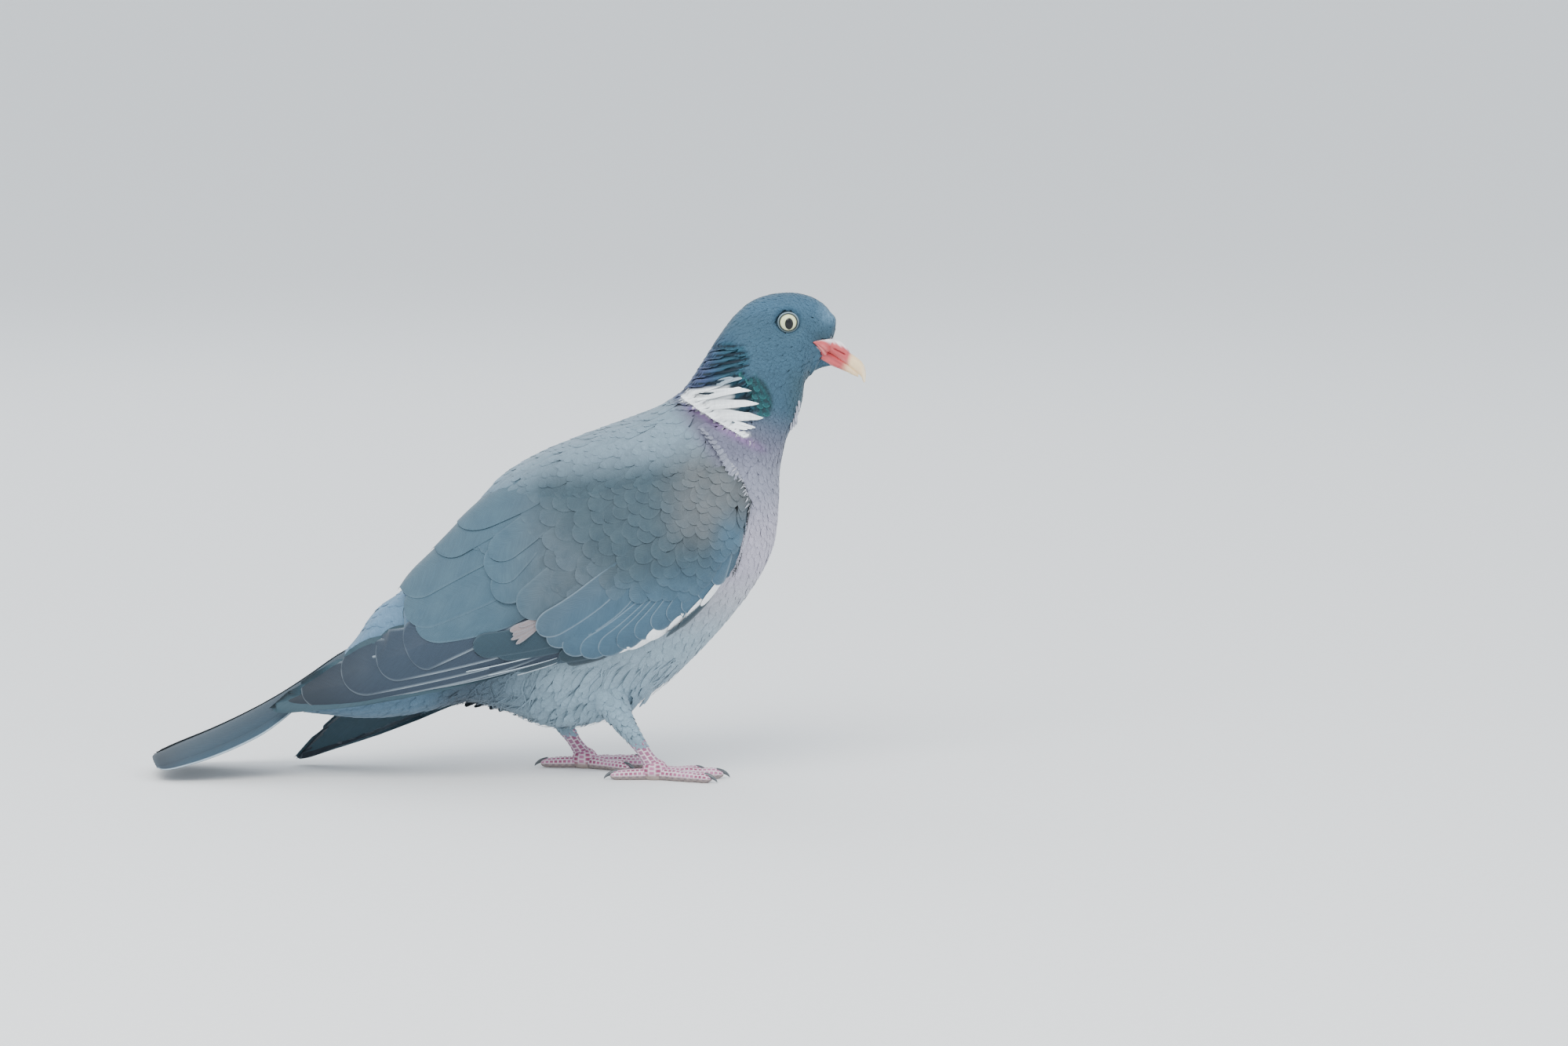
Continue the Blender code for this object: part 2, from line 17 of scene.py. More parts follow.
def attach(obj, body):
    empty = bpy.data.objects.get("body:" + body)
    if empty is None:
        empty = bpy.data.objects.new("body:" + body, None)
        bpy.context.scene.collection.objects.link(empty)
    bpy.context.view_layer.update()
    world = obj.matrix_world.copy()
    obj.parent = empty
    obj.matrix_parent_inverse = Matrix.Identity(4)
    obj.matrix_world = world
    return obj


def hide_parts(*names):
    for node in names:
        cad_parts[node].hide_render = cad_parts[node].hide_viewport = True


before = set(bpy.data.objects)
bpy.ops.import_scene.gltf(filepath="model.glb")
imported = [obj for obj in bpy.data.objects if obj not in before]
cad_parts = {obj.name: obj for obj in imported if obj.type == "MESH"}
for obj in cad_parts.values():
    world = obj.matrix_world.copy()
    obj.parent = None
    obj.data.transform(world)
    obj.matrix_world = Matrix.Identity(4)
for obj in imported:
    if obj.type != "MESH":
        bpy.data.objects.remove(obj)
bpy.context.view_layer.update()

MM = 0.001

# %% [markdown]
# ## Small helpers
# Colours are written as sRGB hex, as a paint chart has them, and turned linear by one function.
# Every mesh here goes through one builder: it takes points in millimetres, triangles, UV maps
# and a colour for each point, and fills the mesh with whole arrays, which is quick.


# %% Colours, blends and meshes
def linear(text):
    """An sRGB hex colour as linear red, green and blue."""
    value = np.array([int(text[i:i + 2], 16) for i in (1, 3, 5)]) / 255.0
    return np.where(value <= 0.04045, value / 12.92, ((value + 0.055) / 1.055) ** 2.4)


def ease(value, low, high):
    """Nought below low, one above high, and a smooth S between them."""
    t = np.clip((np.asarray(value, float) - low) / (high - low), 0.0, 1.0)
    return t * t * (3.0 - 2.0 * t)


def fade(value, low, high):
    """One below low, nought above high, and a smooth S between them."""
    return 1.0 - ease(value, low, high)


def hill(value, centre, width):
    """One at the centre, falling away on both sides as a bell: exp of minus (distance / width) squared."""
    return np.exp(-((value - centre) / width) ** 2)


def circle(count):
    """Even angles once round, in radians."""
    return 2 * np.pi * np.arange(count) / count


def mix(first, second, share):
    """First colour turned into the second by a share, one for all points or one for each."""
    return first + (second - first) * np.asarray(share)[..., None]


def palette(**shades):
    """Named colours, made linear."""
    return {name: linear(text) for name, text in shades.items()}


def unit(vectors):
    """Vectors brought to length one."""
    return vectors / np.maximum(np.linalg.norm(vectors, axis=-1, keepdims=True), 1e-9)


def set_colours(mesh, colours):
    """Stores a linear colour for each point, kept between black and white."""
    layer = mesh.attributes.new("plumage", "FLOAT_COLOR", "POINT")
    opaque = np.concatenate([np.clip(colours, 0.0, 1.0), np.ones((len(colours), 1))], 1)
    layer.data.foreach_set("color", opaque.astype(np.float32).ravel())


def mesh_object(name, points, triangles, material, maps=None, colours=None, lie=None):
    """A smooth object from points (mm), triangles, maps and colours per point, normals per corner."""
    mesh = bpy.data.meshes.new(name)
    triangles = np.asarray(triangles, np.int32)
    corners = triangles.ravel()
    mesh.vertices.add(len(points))
    mesh.vertices.foreach_set("co", (np.asarray(points) * MM).astype(np.float32).ravel())
    mesh.loops.add(len(corners))
    mesh.loops.foreach_set("vertex_index", corners)
    mesh.polygons.add(len(triangles))
    mesh.polygons.foreach_set("loop_start", np.arange(0, len(corners), 3, dtype=np.int32))
    mesh.update(calc_edges=True)
    for label, uv in (maps or {}).items():
        layer = mesh.uv_layers.new(name=label)
        layer.uv.foreach_set("vector", np.asarray(uv, np.float32)[corners].ravel())
    if colours is not None:
        set_colours(mesh, colours)
    mesh.shade_smooth()
    if lie is not None:
        layer = mesh.attributes.new("custom_normal", "FLOAT_VECTOR", "CORNER")
        layer.data.foreach_set("vector", np.asarray(lie, np.float32).ravel())
    mesh.materials.append(material)
    made = bpy.data.objects.new(name, mesh)
    bpy.context.scene.collection.objects.link(made)
    return made


def grid_triangles(rows, columns, closed=False):
    """Triangles of a grid of points, row by row; closed joins the last column to the first."""
    i = np.arange(rows - 1)[:, None]
    j = np.arange(columns if closed else columns - 1)[None, :]
    k = (j + 1) % columns
    a, b, c, d = i * columns + j, i * columns + k, (i + 1) * columns + k, (i + 1) * columns + j
    return np.concatenate([np.stack(half, -1).reshape(-1, 3) for half in ((a, b, c), (a, c, d))])


def outward(points, triangles):
    """Triangles of a closed shell, turned over where the volume that they enclose is below nought."""
    corner = points[triangles]
    volume = np.einsum("ij,ij->", corner[:, 0], np.cross(corner[:, 1], corner[:, 2]))
    return triangles if volume > 0 else triangles[:, ::-1]


def tube_mesh(rings):
    """Points and outward triangles of a stack of closed rings, with a fan over each end."""
    rows, columns, _ = rings.shape
    points = np.concatenate([rings.reshape(-1, 3), rings[:1].mean(axis=1), rings[-1:].mean(axis=1)])
    triangles = grid_triangles(rows, columns, closed=True)
    j = np.arange(columns)
    k = (j + 1) % columns
    first = np.stack([np.full(columns, rows * columns), k, j], -1)
    base = (rows - 1) * columns
    last = np.stack([np.full(columns, rows * columns + 1), base + j, base + k], -1)
    return points, outward(points, np.concatenate([triangles, first, last]))


def together(shells):
    """Several closed shells as one list of points and one of triangles."""
    starts = np.cumsum([0] + [len(points) for points, _ in shells])
    return (np.concatenate([points for points, _ in shells]),
            np.concatenate([triangles + start for (_, triangles), start in zip(shells, starts)]))


def keep_piece(made, slot_name, *nodes):
    """A piece rides on the bird's one body, and may stand for nodes; slot_name is not used."""
    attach(made, "root")
    if nodes:
        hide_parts(*nodes)
    print(made.name, len(made.data.polygons), "triangles")


def add_node(tree, kind, settings=None, links=None):
    """Adds a node, sets its properties and unlinked inputs, and links others to its inputs."""
    node = tree.nodes.new("ShaderNode" + kind)
    for key, value in (settings or {}).items():
        if isinstance(key, str) and hasattr(node, key):
            setattr(node, key, value)
        else:
            node.inputs[key].default_value = value
    for key, socket in (links or {}).items():
        tree.links.new(socket, node.inputs[key])
    return node


def arithmetic(tree, operation, *values):
    """The result of one Math node: numbers are set on it, other nodes' results are linked to it."""
    fixed = {key: value for key, value in enumerate(values) if isinstance(value, float)}
    linked = {key: value for key, value in enumerate(values) if not isinstance(value, float)}
    return add_node(tree, "Math", {"operation": operation, **fixed}, linked).outputs[0]


def new_material(name):
    """A material with an empty node tree, and that tree."""
    made = bpy.data.materials.new(name)
    made.use_nodes = True
    made.node_tree.nodes.clear()
    return made, made.node_tree


# %% [markdown]
# ## The bird's form
# The body is a loft between a dorsal and a ventral line. Each row below gives one section:
# where the two lines are and how wide the bird is there. These are the same stations that the
# solids are made from, so the coat ends where the solids do. Slopes between stations follow
# their neighbours, which keeps crown, nape, breast and belly on one flowing surface.

# %% Stations of the body, wing and tail
BODY = np.array((
    (153, 204.5, 147, 195.5, 5), (154, 210, 144.5, 191, 6.8),
    (151, 218.5, 141.5, 188, 8.8), (144.5, 224, 139.5, 184.5, 11.4),
    (136.5, 226.5, 139, 181, 13.4), (126.5, 226.5, 138.5, 177, 14),
    (117, 224, 137.5, 172.5, 14), (108, 217.5, 135, 166, 14.5),
    (99, 206, 131.5, 159.5, 16), (91, 193.5, 129.5, 152, 19),
    (83, 182, 128, 143, 24), (72.5, 174.5, 127.5, 128.5, 31),
    (56.5, 168, 125.5, 110, 37), (34.5, 160, 117, 91, 40),
    (14.5, 151.5, 98.5, 67, 40), (-2, 141.5, 74.5, 43.5, 37),
    (-15, 127.5, 45, 25.5, 32), (-26.5, 114.5, 19.5, 22.5, 26),
    (-37.5, 100.5, -1, 30, 23), (-48.5, 88, -18, 34, 21),
    (-62, 77.5, -36, 30, 20), (-73.5, 61.5, -54, 27, 19.5),
    (-84, 51, -70, 26.5, 17), (-93, 42, -85, 28, 11)))
WING = np.array((
    (112.5, -31, 137.5, 113, -32, 124, 1.5, 6),
    (107.5, -27, 149, 109.5, -31, 106, 9, 16),
    (97, -20, 160.5, 100, -33, 91.5, 15.5, 24),
    (79, -14, 166.5, 86.5, -35, 78.5, 21, 30),
    (57, -11, 165.5, 70, -36, 68.5, 24, 34),
    (33, -10, 157.5, 46.5, -36, 58.5, 24, 34),
    (9.5, -10, 146, 21, -34.5, 53.5, 22, 28),
    (-12.5, -9.5, 129, -5, -33, 47.5, 19, 19),
    (-32, -9.5, 109, -30.5, -32, 43, 15.5, 12),
    (-47.5, -11, 92.5, -48, -31, 40, 12, 8.5),
    (-52.5, -14, 83.5, -57, -30.5, 38.5, 9, 7),
    (-55, -17.5, 72, -68, -30, 36.5, 6.5, 5.5),
    (-69, -20.5, 64, -79, -29.5, 35, 4.2, 4.2),
    (-85, -23, 54, -93, -28.5, 33.5, 2.4, 3),
    (-101.5, -25, 42.5, -104, -27.5, 32.5, 1, 2),
    (-109.5, -26, 35.5, -110, -27, 33, 0.3, 1.2)))
TAIL = np.array((
    (-61, 63, 9, 3, 6, 0), (-76, 56, 14.5, 7, 6.5, 0),
    (-92, 45.5, 20, 10.5, 6, 0), (-108, 35.5, 23, 12, 5.4, 0),
    (-124, 26.8, 25, 11.5, 4.8, 0.5), (-140, 19.2, 26.5, 10, 4.2, 1.5),
    (-155, 12.9, 27.5, 8, 3.6, 3), (-168, 7.6, 27, 6.4, 2.6, 5)))
WING_SIDE = WING[:, [0, 2, 3, 5, 1, 4, 6, 7]]   # upper x, z; lower x, z; both y; fullness out and in
WING_FULLNESS = 0.66      # the power that rounds the wing between its edges
BODY_ROUNDING = 2.15      # the power of the body's superellipse: 2 is an ellipse, more is boxier
WRIST_X, WING_TIP_X = 109.0, -110.0
LEFT_DROOP, LEFT_FORWARD = 31.0, 7.0
EYE = np.array((131.8, 8.9, 213.8))
EYE_RADIUS = 4.9


def smooth_rows(rows, places):
    """Rows between stations: cubic curves, with slopes from the distances to the neighbours."""
    one_line = rows.shape[1] in (4, 6)        # rows of a limb or the tail; the others hold two lines
    middle = rows[:, :2] if one_line else 0.5 * (rows[:, 0:2] + rows[:, 2:4])
    steps = np.maximum(np.linalg.norm(np.diff(middle, axis=0), axis=1), 1.0)
    slopes = np.diff(rows, axis=0) / steps[:, None]
    tangents = np.concatenate([slopes[:1], slopes[:1], slopes[1:]])[:len(rows)]
    before, after = steps[:-1, None], steps[1:, None]
    tangents[1:-1] = (slopes[:-1] * after + slopes[1:] * before) / (before + after)
    tangents[-1] = slopes[-1]
    places = np.clip(places, 0.0, len(rows) - 1.0)
    index = np.minimum(places.astype(int), len(rows) - 2)
    t = (places - index)[:, None]
    span = steps[index][:, None]
    start = rows[index] * (2 * t**3 - 3 * t**2 + 1) + tangents[index] * span * (t**3 - 2 * t**2 + t)
    return start + rows[index + 1] * (3 * t**2 - 2 * t**3) + tangents[index + 1] * span * (t**3 - t**2)


def rounded(value, power):
    """A sine or cosine bent towards a superellipse."""
    return np.sign(value) * np.abs(value) ** (2.0 / power)


def oval_rings(rows, sides, power):
    """Closed sections between an upper and a lower line: superellipses of the row's half width."""
    angle = circle(sides)
    along = rounded(np.cos(angle), power)[None, :]
    centre, reach = 0.5 * (rows[:, 0:2] + rows[:, 2:4]), 0.5 * (rows[:, 0:2] - rows[:, 2:4])
    x = centre[:, :1] + along * reach[:, :1]
    z = centre[:, 1:] + along * reach[:, 1:]
    return np.stack([x, rounded(np.sin(angle), power)[None, :] * rows[:, 4:5], z], -1)


def droop(x):
    """Share of the left wing's hang: nought at the wrist, one at the tip."""
    return np.clip((WRIST_X - x) / (WRIST_X - WING_TIP_X), 0.0, None) ** 1.5


def to_left(points):
    """A point of the right wing carried to the left one: mirrored, and let down to its hang."""
    moved = points * np.array((1.0, -1.0, 1.0))
    hang = droop(moved[..., 0])
    moved[..., 0] += LEFT_FORWARD * hang
    moved[..., 2] -= LEFT_DROOP * hang
    return moved


def wing_sheet(places, run, inner):
    """The right wing's outer or inner face: upper edge to lower edge, swollen between them."""
    rows = smooth_rows(WING_SIDE, places)
    upper, lower = rows[:, None, [0, 4, 1]], rows[:, None, [2, 5, 3]]
    sheet = upper + (lower - upper) * run[None, :, None]
    swell = rows[:, 6:7] - (rows[:, 7:8] if inner else 0.0)
    sheet[..., 1] -= swell * np.sin(np.pi * run)[None, :] ** WING_FULLNESS
    return sheet


body_last = len(BODY) - 1
body_check = oval_rings(smooth_rows(BODY, np.linspace(0, body_last, 200)), 64, BODY_ROUNDING)

# %% [markdown]
# ## Sheets that feathers can walk on
# To lay a feather along a curved body we need to step along the surface in millimetres. A sheet
# keeps a fine grid of points together with its two slopes and its normal, and reads them between
# grid lines. Past an edge it goes on straight, so a feather may hang over the edge of its wing.


# %% The sheet and its readings
class Sheet:
    """A surface on a grid of rows a and columns b, with slopes and outward normals."""

    def __init__(self, points, outward, closed=False):
        self.closed, self.tree = closed, None
        work = np.concatenate([points[:, -2:], points, points[:, :3]], axis=1) if closed else points
        down, across = np.gradient(work, axis=0), np.gradient(work, axis=1)
        if closed:
            work, down, across = work[:, 2:-2], down[:, 2:-2], across[:, 2:-2]
        normal = unit(np.cross(down, across))
        centre = points.mean(axis=1, keepdims=True) if outward is None else work - outward
        sign = np.sign(((work - centre) * normal).sum(axis=-1).mean())
        self.table = np.concatenate([work, down, across, normal * sign], axis=-1)

    def read(self, a, b):
        """Point, both slopes and normal at a, b: a blend of the four grid points around."""
        rows, columns = self.table.shape[:2]
        b = np.mod(b, columns - 1.0) if self.closed else b
        near_a, near_b = np.clip(a, 0.0, rows - 1.001), np.clip(b, 0.0, columns - 1.001)
        i, j = near_a.astype(int), near_b.astype(int)
        f, g = (near_a - i)[..., None], (near_b - j)[..., None]
        t = self.table
        value = (t[i, j] * (1 - g) + t[i, j + 1] * g) * (1 - f)
        value = value + (t[i + 1, j] * (1 - g) + t[i + 1, j + 1] * g) * f
        down, across = value[..., 3:6], value[..., 6:9]
        point = value[..., :3] + down * (a - near_a)[..., None] + across * (b - near_b)[..., None]
        return point, down, across, unit(value[..., 9:12])

    def step(self, down, across, move):
        """How far a and b go for a small move in space: the two slopes solved for the move."""
        e, f, g = (down * down).sum(-1), (down * across).sum(-1), (across * across).sum(-1)
        p, q = (move * down).sum(-1), (move * across).sum(-1)
        area = np.maximum(e * g - f * f, 1e-6)
        return (g * p - f * q) / area, (e * q - f * p) / area

    def find(self, x, z):
        """Grid places of points of the side view: the nearest grid point, then Newton steps."""
        if self.tree is None:
            self.tree = KDTree(self.table[..., 0].size)
            for index, point in enumerate(self.table[..., :3].reshape(-1, 3)):
                self.tree.insert((point[0], 0.0, point[2]), index)
            self.tree.balance()
        hits = np.array([self.tree.find((px, 0.0, pz))[1] for px, pz in zip(x.ravel(), z.ravel())])
        columns = self.table.shape[1]
        a, b = (place.astype(float).reshape(x.shape) for place in np.divmod(hits, columns))
        for _ in range(3):
            point, down, across, _ = self.read(a, b)
            dx, dz = x - point[..., 0], z - point[..., 2]
            area = down[..., 0] * across[..., 2] - down[..., 2] * across[..., 0]
            area = np.where(np.abs(area) < 1e-4, 1e-4, area)
            a = a + np.clip((dx * across[..., 2] - dz * across[..., 0]) / area, -3.0, 3.0)
            b = b + np.clip((down[..., 0] * dz - down[..., 2] * dx) / area, -3.0, 3.0)
        return a, b


# %% [markdown]
# ## The body's small forms
# Three things shape the smooth loft before it is dressed: the dish around each eye, the brow over
# it, and the furrows in the neck's plumage; the furrows are also painted near black as painted shade.
# On the real bird the neck feathers stand in lanes, which gives a wood pigeon its combed look.

# %% Eye dish and neck lanes
LANE_GAP = 4.1                            # mm from furrow to furrow
LANE_DEPTH = 1.5                          # mm from ridge to furrow
LANE_ZERO = 184.8                         # height of furrow number nought at the nape, mm
LANE_BACK, LANE_BEND = 87.0, 28.0         # where the lanes start to bend up, and how far on they do
LANE_TIPS = np.arange(-4.5, 6.0), np.array(
    (113, 117.5, 119.8, 118, 114.5, 113, 115, 115, 113, 108, 104))


def lane_rise(x, z):
    """How far the lanes bend up towards the front: a parabola, fading out in the lowest lanes."""
    rise = 0.0095 * np.clip(x - LANE_BACK, 0.0, LANE_BEND) ** 2
    return rise * ease(z, 172.0, 188.0) * (1.0 - 0.65 * ease(z, 188.0, 204.0))


def lane_place(x, z):
    """Place across the lanes: furrows at whole numbers, ridges between them."""
    return (z - lane_rise(x, z) - LANE_ZERO) / LANE_GAP


def lane_tip(lane):
    """Where each lane ends at the front: read at the middle of the lane."""
    return np.interp(np.floor(lane) + 0.5, *LANE_TIPS)


def white_bottom(x):
    """Lower edge of the white patch: from the nape down to the front of the neck."""
    return 178.5 - 0.60 * (x - 81.5)


def lane_share(p):
    """One where the plumage is combed into lanes: the sides and back of the middle neck."""
    x, z = p[..., 0], p[..., 2]
    lane = lane_place(x, z)
    tip = lane_tip(lane)
    share = ease(lane, -4.6, -4.1) * fade(lane, 4.2, 4.8) * ease(z - white_bottom(x), -3.0, -1.0)
    return share * fade(x, tip - 4.0, tip + 0.5) * ease(np.abs(p[..., 1]), 0.0, 4.0)


def shape_body(points, normals):
    """Pushes the loft inward around the eyes and in the furrows between the neck's lanes."""
    x, y, z = points[..., 0], points[..., 1], points[..., 2]
    ring = np.hypot(x - EYE[0], z - EYE[2])
    dish = 2.0 * fade(ring, 4.4, 8.4) * ease(np.abs(y), 4.0, 8.0)
    brow = 0.45 * hill(ring, 7.6, 1.8) * ease(z, EYE[2] - 2.0, EYE[2] + 3.0)
    lane = lane_place(x, z)
    furrow = LANE_DEPTH * np.abs(np.cos(np.pi * lane)) ** 4.0 * lane_share(points)
    return points + normals * (brow - dish - furrow)[..., None]


def tube_normals(rings):
    """Outward normals of a stack of closed rings."""
    return Sheet(rings, None, closed=True).table[:, :-1, 9:12]


BODY_ROWS, BODY_SIDES = 760, 260
rings = oval_rings(smooth_rows(BODY, np.linspace(0, body_last, BODY_ROWS)), BODY_SIDES, BODY_ROUNDING)
body = Sheet(shape_body(rings, tube_normals(rings)), None, closed=True)
per_station = (BODY_ROWS - 1) / body_last
sheet_run = 0.5 - 0.5 * np.cos(np.pi * np.linspace(0, 1, 90))
wing_places = np.linspace(0, len(WING) - 1, 320)
wing_grids = {"right": [wing_sheet(wing_places, sheet_run, inner) for inner in (False, True)]}
wing_grids["left"] = [to_left(grid) for grid in wing_grids["right"]]
wings = {}
for hand, side in (("right", -1.0), ("left", 1.0)):
    for name, grid, way in zip(("outer", "inner"), wing_grids[hand], (1.0, -1.0)):
        wings[hand, name] = Sheet(grid, np.array((0.0, side * way, 0.0)))
print("body sheet", body.table.shape, "wing sheet", wings["right", "outer"].table.shape)

# %% [markdown]
# ## Markings
# One function says what colour the plumage has at a place on the body, and another does so for
# the wing. Skin and feathers both ask them, so they always agree. Pigeon grey comes from fine
# structure in the barbs and has a cool cast; the breast's vinous tint is a pigment under it.

# %% Colours of the body and the wing
# furrow, near black, is painted shade for the neck's furrows; forehead is paler partly as a painted
# highlight; vent, under_tail and under_wing are darker partly as painted shade and partly the bird's own grey
SHADES = palette(
    crown="#385b72", forehead="#577a92", cheek="#335265", lore="#26404d", throat="#304c59", nape="#23435b",
    lane_back="#394972", lane_side="#205063", furrow="#102431", teal="#0f454b", teal_dark="#103038",
    teal_light="#2c7878", white="#f2f6f8", magenta="#7a5f8b", tuft="#abadba", rose="#656679",
    breast="#888a9b", vinous="#aea9b9", pale_breast="#a4a6af", band="#a9afba", belly="#889daa",
    flank="#7e96a5", vent="#3d4e5c", mantle="#6f8391", rump="#5c7c96", under_tail="#4f6b80",
    lesser="#585e62", covert="#45545e", blue="#405c6e", greater="#355469", tertial="#3d5766",
    scapular="#354852", flight="#2c3a49", flight_tip="#1a242e", edge="#91a3b0", secondary="#253b47",
    hem="#a9b8c3", alula="#1d333e", torn="#82787a", under_wing="#2d444f", tail="#233c4c",
    tail_end="#1a2c3a", bare="#c08f92")
# feather lines above and below the bill's bare root in the side view: x and z, from the back
CERE_TOP = np.array(((143.4, 204.6), (147.5, 205.3), (150.5, 205.5), (153.4, 205.1)))
CERE_LOW = np.array(((143.4, 204.4), (145.4, 202.2), (147, 199.8), (148.4, 197.2)))


def bill_gap(p):
    """True on the bare skin between the cere's upper feather line and the gape's lower one."""
    x, z = p[..., 0], p[..., 2]
    return (x > CERE_TOP[0, 0]) & (z < np.interp(x, *CERE_TOP.T)) & (z > np.interp(x, *CERE_LOW.T))


# where the mantle meets the wing in the side view: x and z
WING_SEAM = np.array(((-45, 104), (-26, 117.5), (-5, 122), (18, 134), (40, 137),
                      (71, 141), (86, 145), (101, 147), (112, 147)))


def laid_over(colour, *shades):
    """A colour with shades laid over it in turn: pairs of a shade, or its name, and its share."""
    for shade, share in shades:
        colour = mix(colour, SHADES[shade] if isinstance(shade, str) else shade, share)
    return colour


def body_colour(p):
    """The body's markings, from the height, the length and the side of a place."""
    x, z = p[..., 0], p[..., 2]
    lore = np.exp(-((x - 148.0) / 5.0) ** 2 - ((z - 206.5) / 3.6) ** 2)
    head = laid_over(SHADES["cheek"], ("crown", ease(z, 212.0, 222.0)),
                     # the forehead is paler: partly its own tone, partly a painted highlight where the front
                     # of the head faces the light
                     ("forehead", ease(x, 143.0, 152.0) * ease(z, 210.0, 218.0)), ("lore", lore),
                     ("throat", ease(x, 128.0, 137.0) * fade(z, 184.0, 196.0)),
                     ("nape", fade(x, 96.0, 112.0) * fade(z, 205.0, 214.0)))
    back = laid_over(wing_colour(x, z), (mix(SHADES["mantle"], SHADES["rump"], fade(x, -30.0, 10.0)),
                                         ease(z - np.interp(x, *WING_SEAM.T), 1.0, 20.0)))
    body_tone = laid_over(
        SHADES["rose"], ("breast", fade(z, 138.0, 158.0)), ("vinous", fade(z, 112.0, 140.0)),
        ("pale_breast", fade(z, 82.0, 104.0)), ("belly", fade(z, 62.0, 90.0)), ("flank", fade(z, 36.0, 62.0)),
        # vent and under_tail darken the rear and the underside of the tail: partly the bird's own darker
        # grey, partly painted shade under the body
        ("vent", fade(x, -24.0, 34.0)),
        (back, ease(z - 0.72 * x, 56.0, 70.0) * fade(x + 0.77 * z, 209.0, 219.0)),
        ("rump", fade(x, -40.0, -20.0) * ease(z, 46.0, 62.0)),
        ("under_tail", fade(x, -44.0, -24.0) * fade(z, 44.0, 56.0)))
    below_neck = fade(z + 0.42 * (x - 128.0), 150.0, 176.0)
    return neck_colour(p, laid_over(head, (body_tone, below_neck), ("bare", bill_gap(p))))


def neck_colour(p, colour):
    """Lanes, green gloss, purple hem and white patch, laid over the body's colour in that order."""
    x, y, z = p[..., 0], np.abs(p[..., 1]), p[..., 2]
    sided, lane = ease(y, 2.0, 6.0), lane_place(x, z)
    # furrow is one in the furrows between lanes, where the ridges' colour turns near black as painted shade
    furrow = np.abs(np.cos(np.pi * lane)) ** 6.0
    streak = 0.85 + 0.15 * np.sin(9.0 * lane + 0.35 * x)
    ridge = mix(SHADES["lane_back"], SHADES["lane_side"], ease(x, 90.0, 104.0)) * streak[..., None]
    combed = mix(ridge, SHADES["furrow"], ease(furrow, 0.12, 0.7))
    green = mix(SHADES["teal_dark"], SHADES["teal"], ease(np.sin(1.9 * x + 1.1 * z), -0.2, 0.9))
    gloss = np.exp(-((x - 118.5 + 0.25 * (z - 180.0)) / 6.0) ** 2 - ((z - 179.5) / 10.5) ** 2)
    bottom = white_bottom(x)
    hem = hill(z - bottom, -0.8, 2.2) * ease(x, 80.0, 92.0) * fade(x, 118.0, 125.0) * ease(z, 150.0, 160.0)
    patch = ease(z - bottom + 0.7 * np.sin(3.1 * x), -0.6, 0.8) * ease(x, 80.5, 84.0)
    patch = patch * fade(z - 0.16 * (x - 82.0), 180.6, 182.2) * (1.0 - ease(x, 101.0, 107.0) * (furrow > 0.1))
    patch = patch * fade(x + 0.4 * (z - 170.0), 108.0, 112.0)
    return laid_over(colour, (combed, lane_share(p)), (green, ease(gloss, 0.30, 0.62) * sided),
                     ("magenta", 0.9 * hem * sided), ("white", patch * sided))


def wing_colour(x, z):
    """The closed wing's markings in the side view: brown-grey shoulder to blue-grey edge, blotched."""
    colour = laid_over(
        SHADES["covert"], ("scapular", ease(z + 0.9 * x, 128.0, 160.0)),
        ("lesser", ease(x, 66.0, 92.0) * ease(z, 104.0, 126.0)),
        ("blue", fade(z - 0.30 * x, 62.0, 88.0) * ease(x, 10.0, 40.0)),
        ("blue", ease(x, 92.0, 106.0) * fade(z, 116.0, 134.0)), ("tertial", fade(x, -6.0, 26.0)))
    blotch = np.sin(0.31 * x + 0.17 * z) * np.sin(0.13 * x - 0.29 * z + 1.0)
    blotch = blotch + 0.6 * np.sin(0.7 * x + 0.2 * z) * np.sin(0.6 * z)
    fine = np.sin(0.9 * x - 0.5 * z + 2.0 * np.sin(0.21 * z))
    fine = fine * np.sin(0.45 * x + 0.8 * z + 2.0 * np.sin(0.17 * x))
    return colour * (1.0 + (blotch + 0.7 * fine)[..., None] * np.array((0.085, 0.060, 0.045)))


def plain_shade(name):
    """A colour function that gives one shade everywhere."""
    return lambda p: np.broadcast_to(SHADES[name], p.shape)


def even(gap):
    """A spacing that is the same everywhere, in mm."""
    return lambda p: np.full(p.shape[:-1], gap)


print("markings:", len(SHADES), "shades")

# %% [markdown]
# ## Laying feathers
# A feather is a thin closed vane: an arched upper face on a few rows and columns, and a flat
# underside. Each one starts at its root under its neighbours and walks down the sheet in the
# direction of lie, rising as it goes, so its tip covers the next row's roots. Colours come from
# the markings where the feather's visible part lies, so patches end in feather-shaped edges.


# %% Roots and vanes
def scatter(sheet, spacing, seed, keep, around=3.2):
    """Roots no nearer to each other than their spacing: random places, thinned in order."""
    rng = np.random.default_rng(seed)
    grid = sheet.table[:-1, :-1]
    gap = spacing(grid[..., :3])
    weight = np.linalg.norm(np.cross(grid[..., 3:6], grid[..., 6:9]), axis=-1) / gap ** 2
    weight = weight * keep(grid[..., :3], *np.indices(weight.shape))
    total = weight.sum()
    picks = rng.choice(weight.size, int(total * around), p=(weight / total).ravel())
    a = picks // weight.shape[1] + rng.random(len(picks))
    b = picks % weight.shape[1] + rng.random(len(picks))
    points = sheet.read(a, b)[0]
    gaps = spacing(points)
    tree = KDTree(len(points))
    for index, point in enumerate(points):
        tree.insert(point, index)
    tree.balance()
    open_places = np.ones(len(points), bool)
    kept = []
    for index, (point, radius) in enumerate(zip(points, gaps)):
        if open_places[index]:
            kept.append(index)
            for _, near, _ in tree.find_range(point, radius):
                open_places[near] = False
    return a[kept], b[kept]


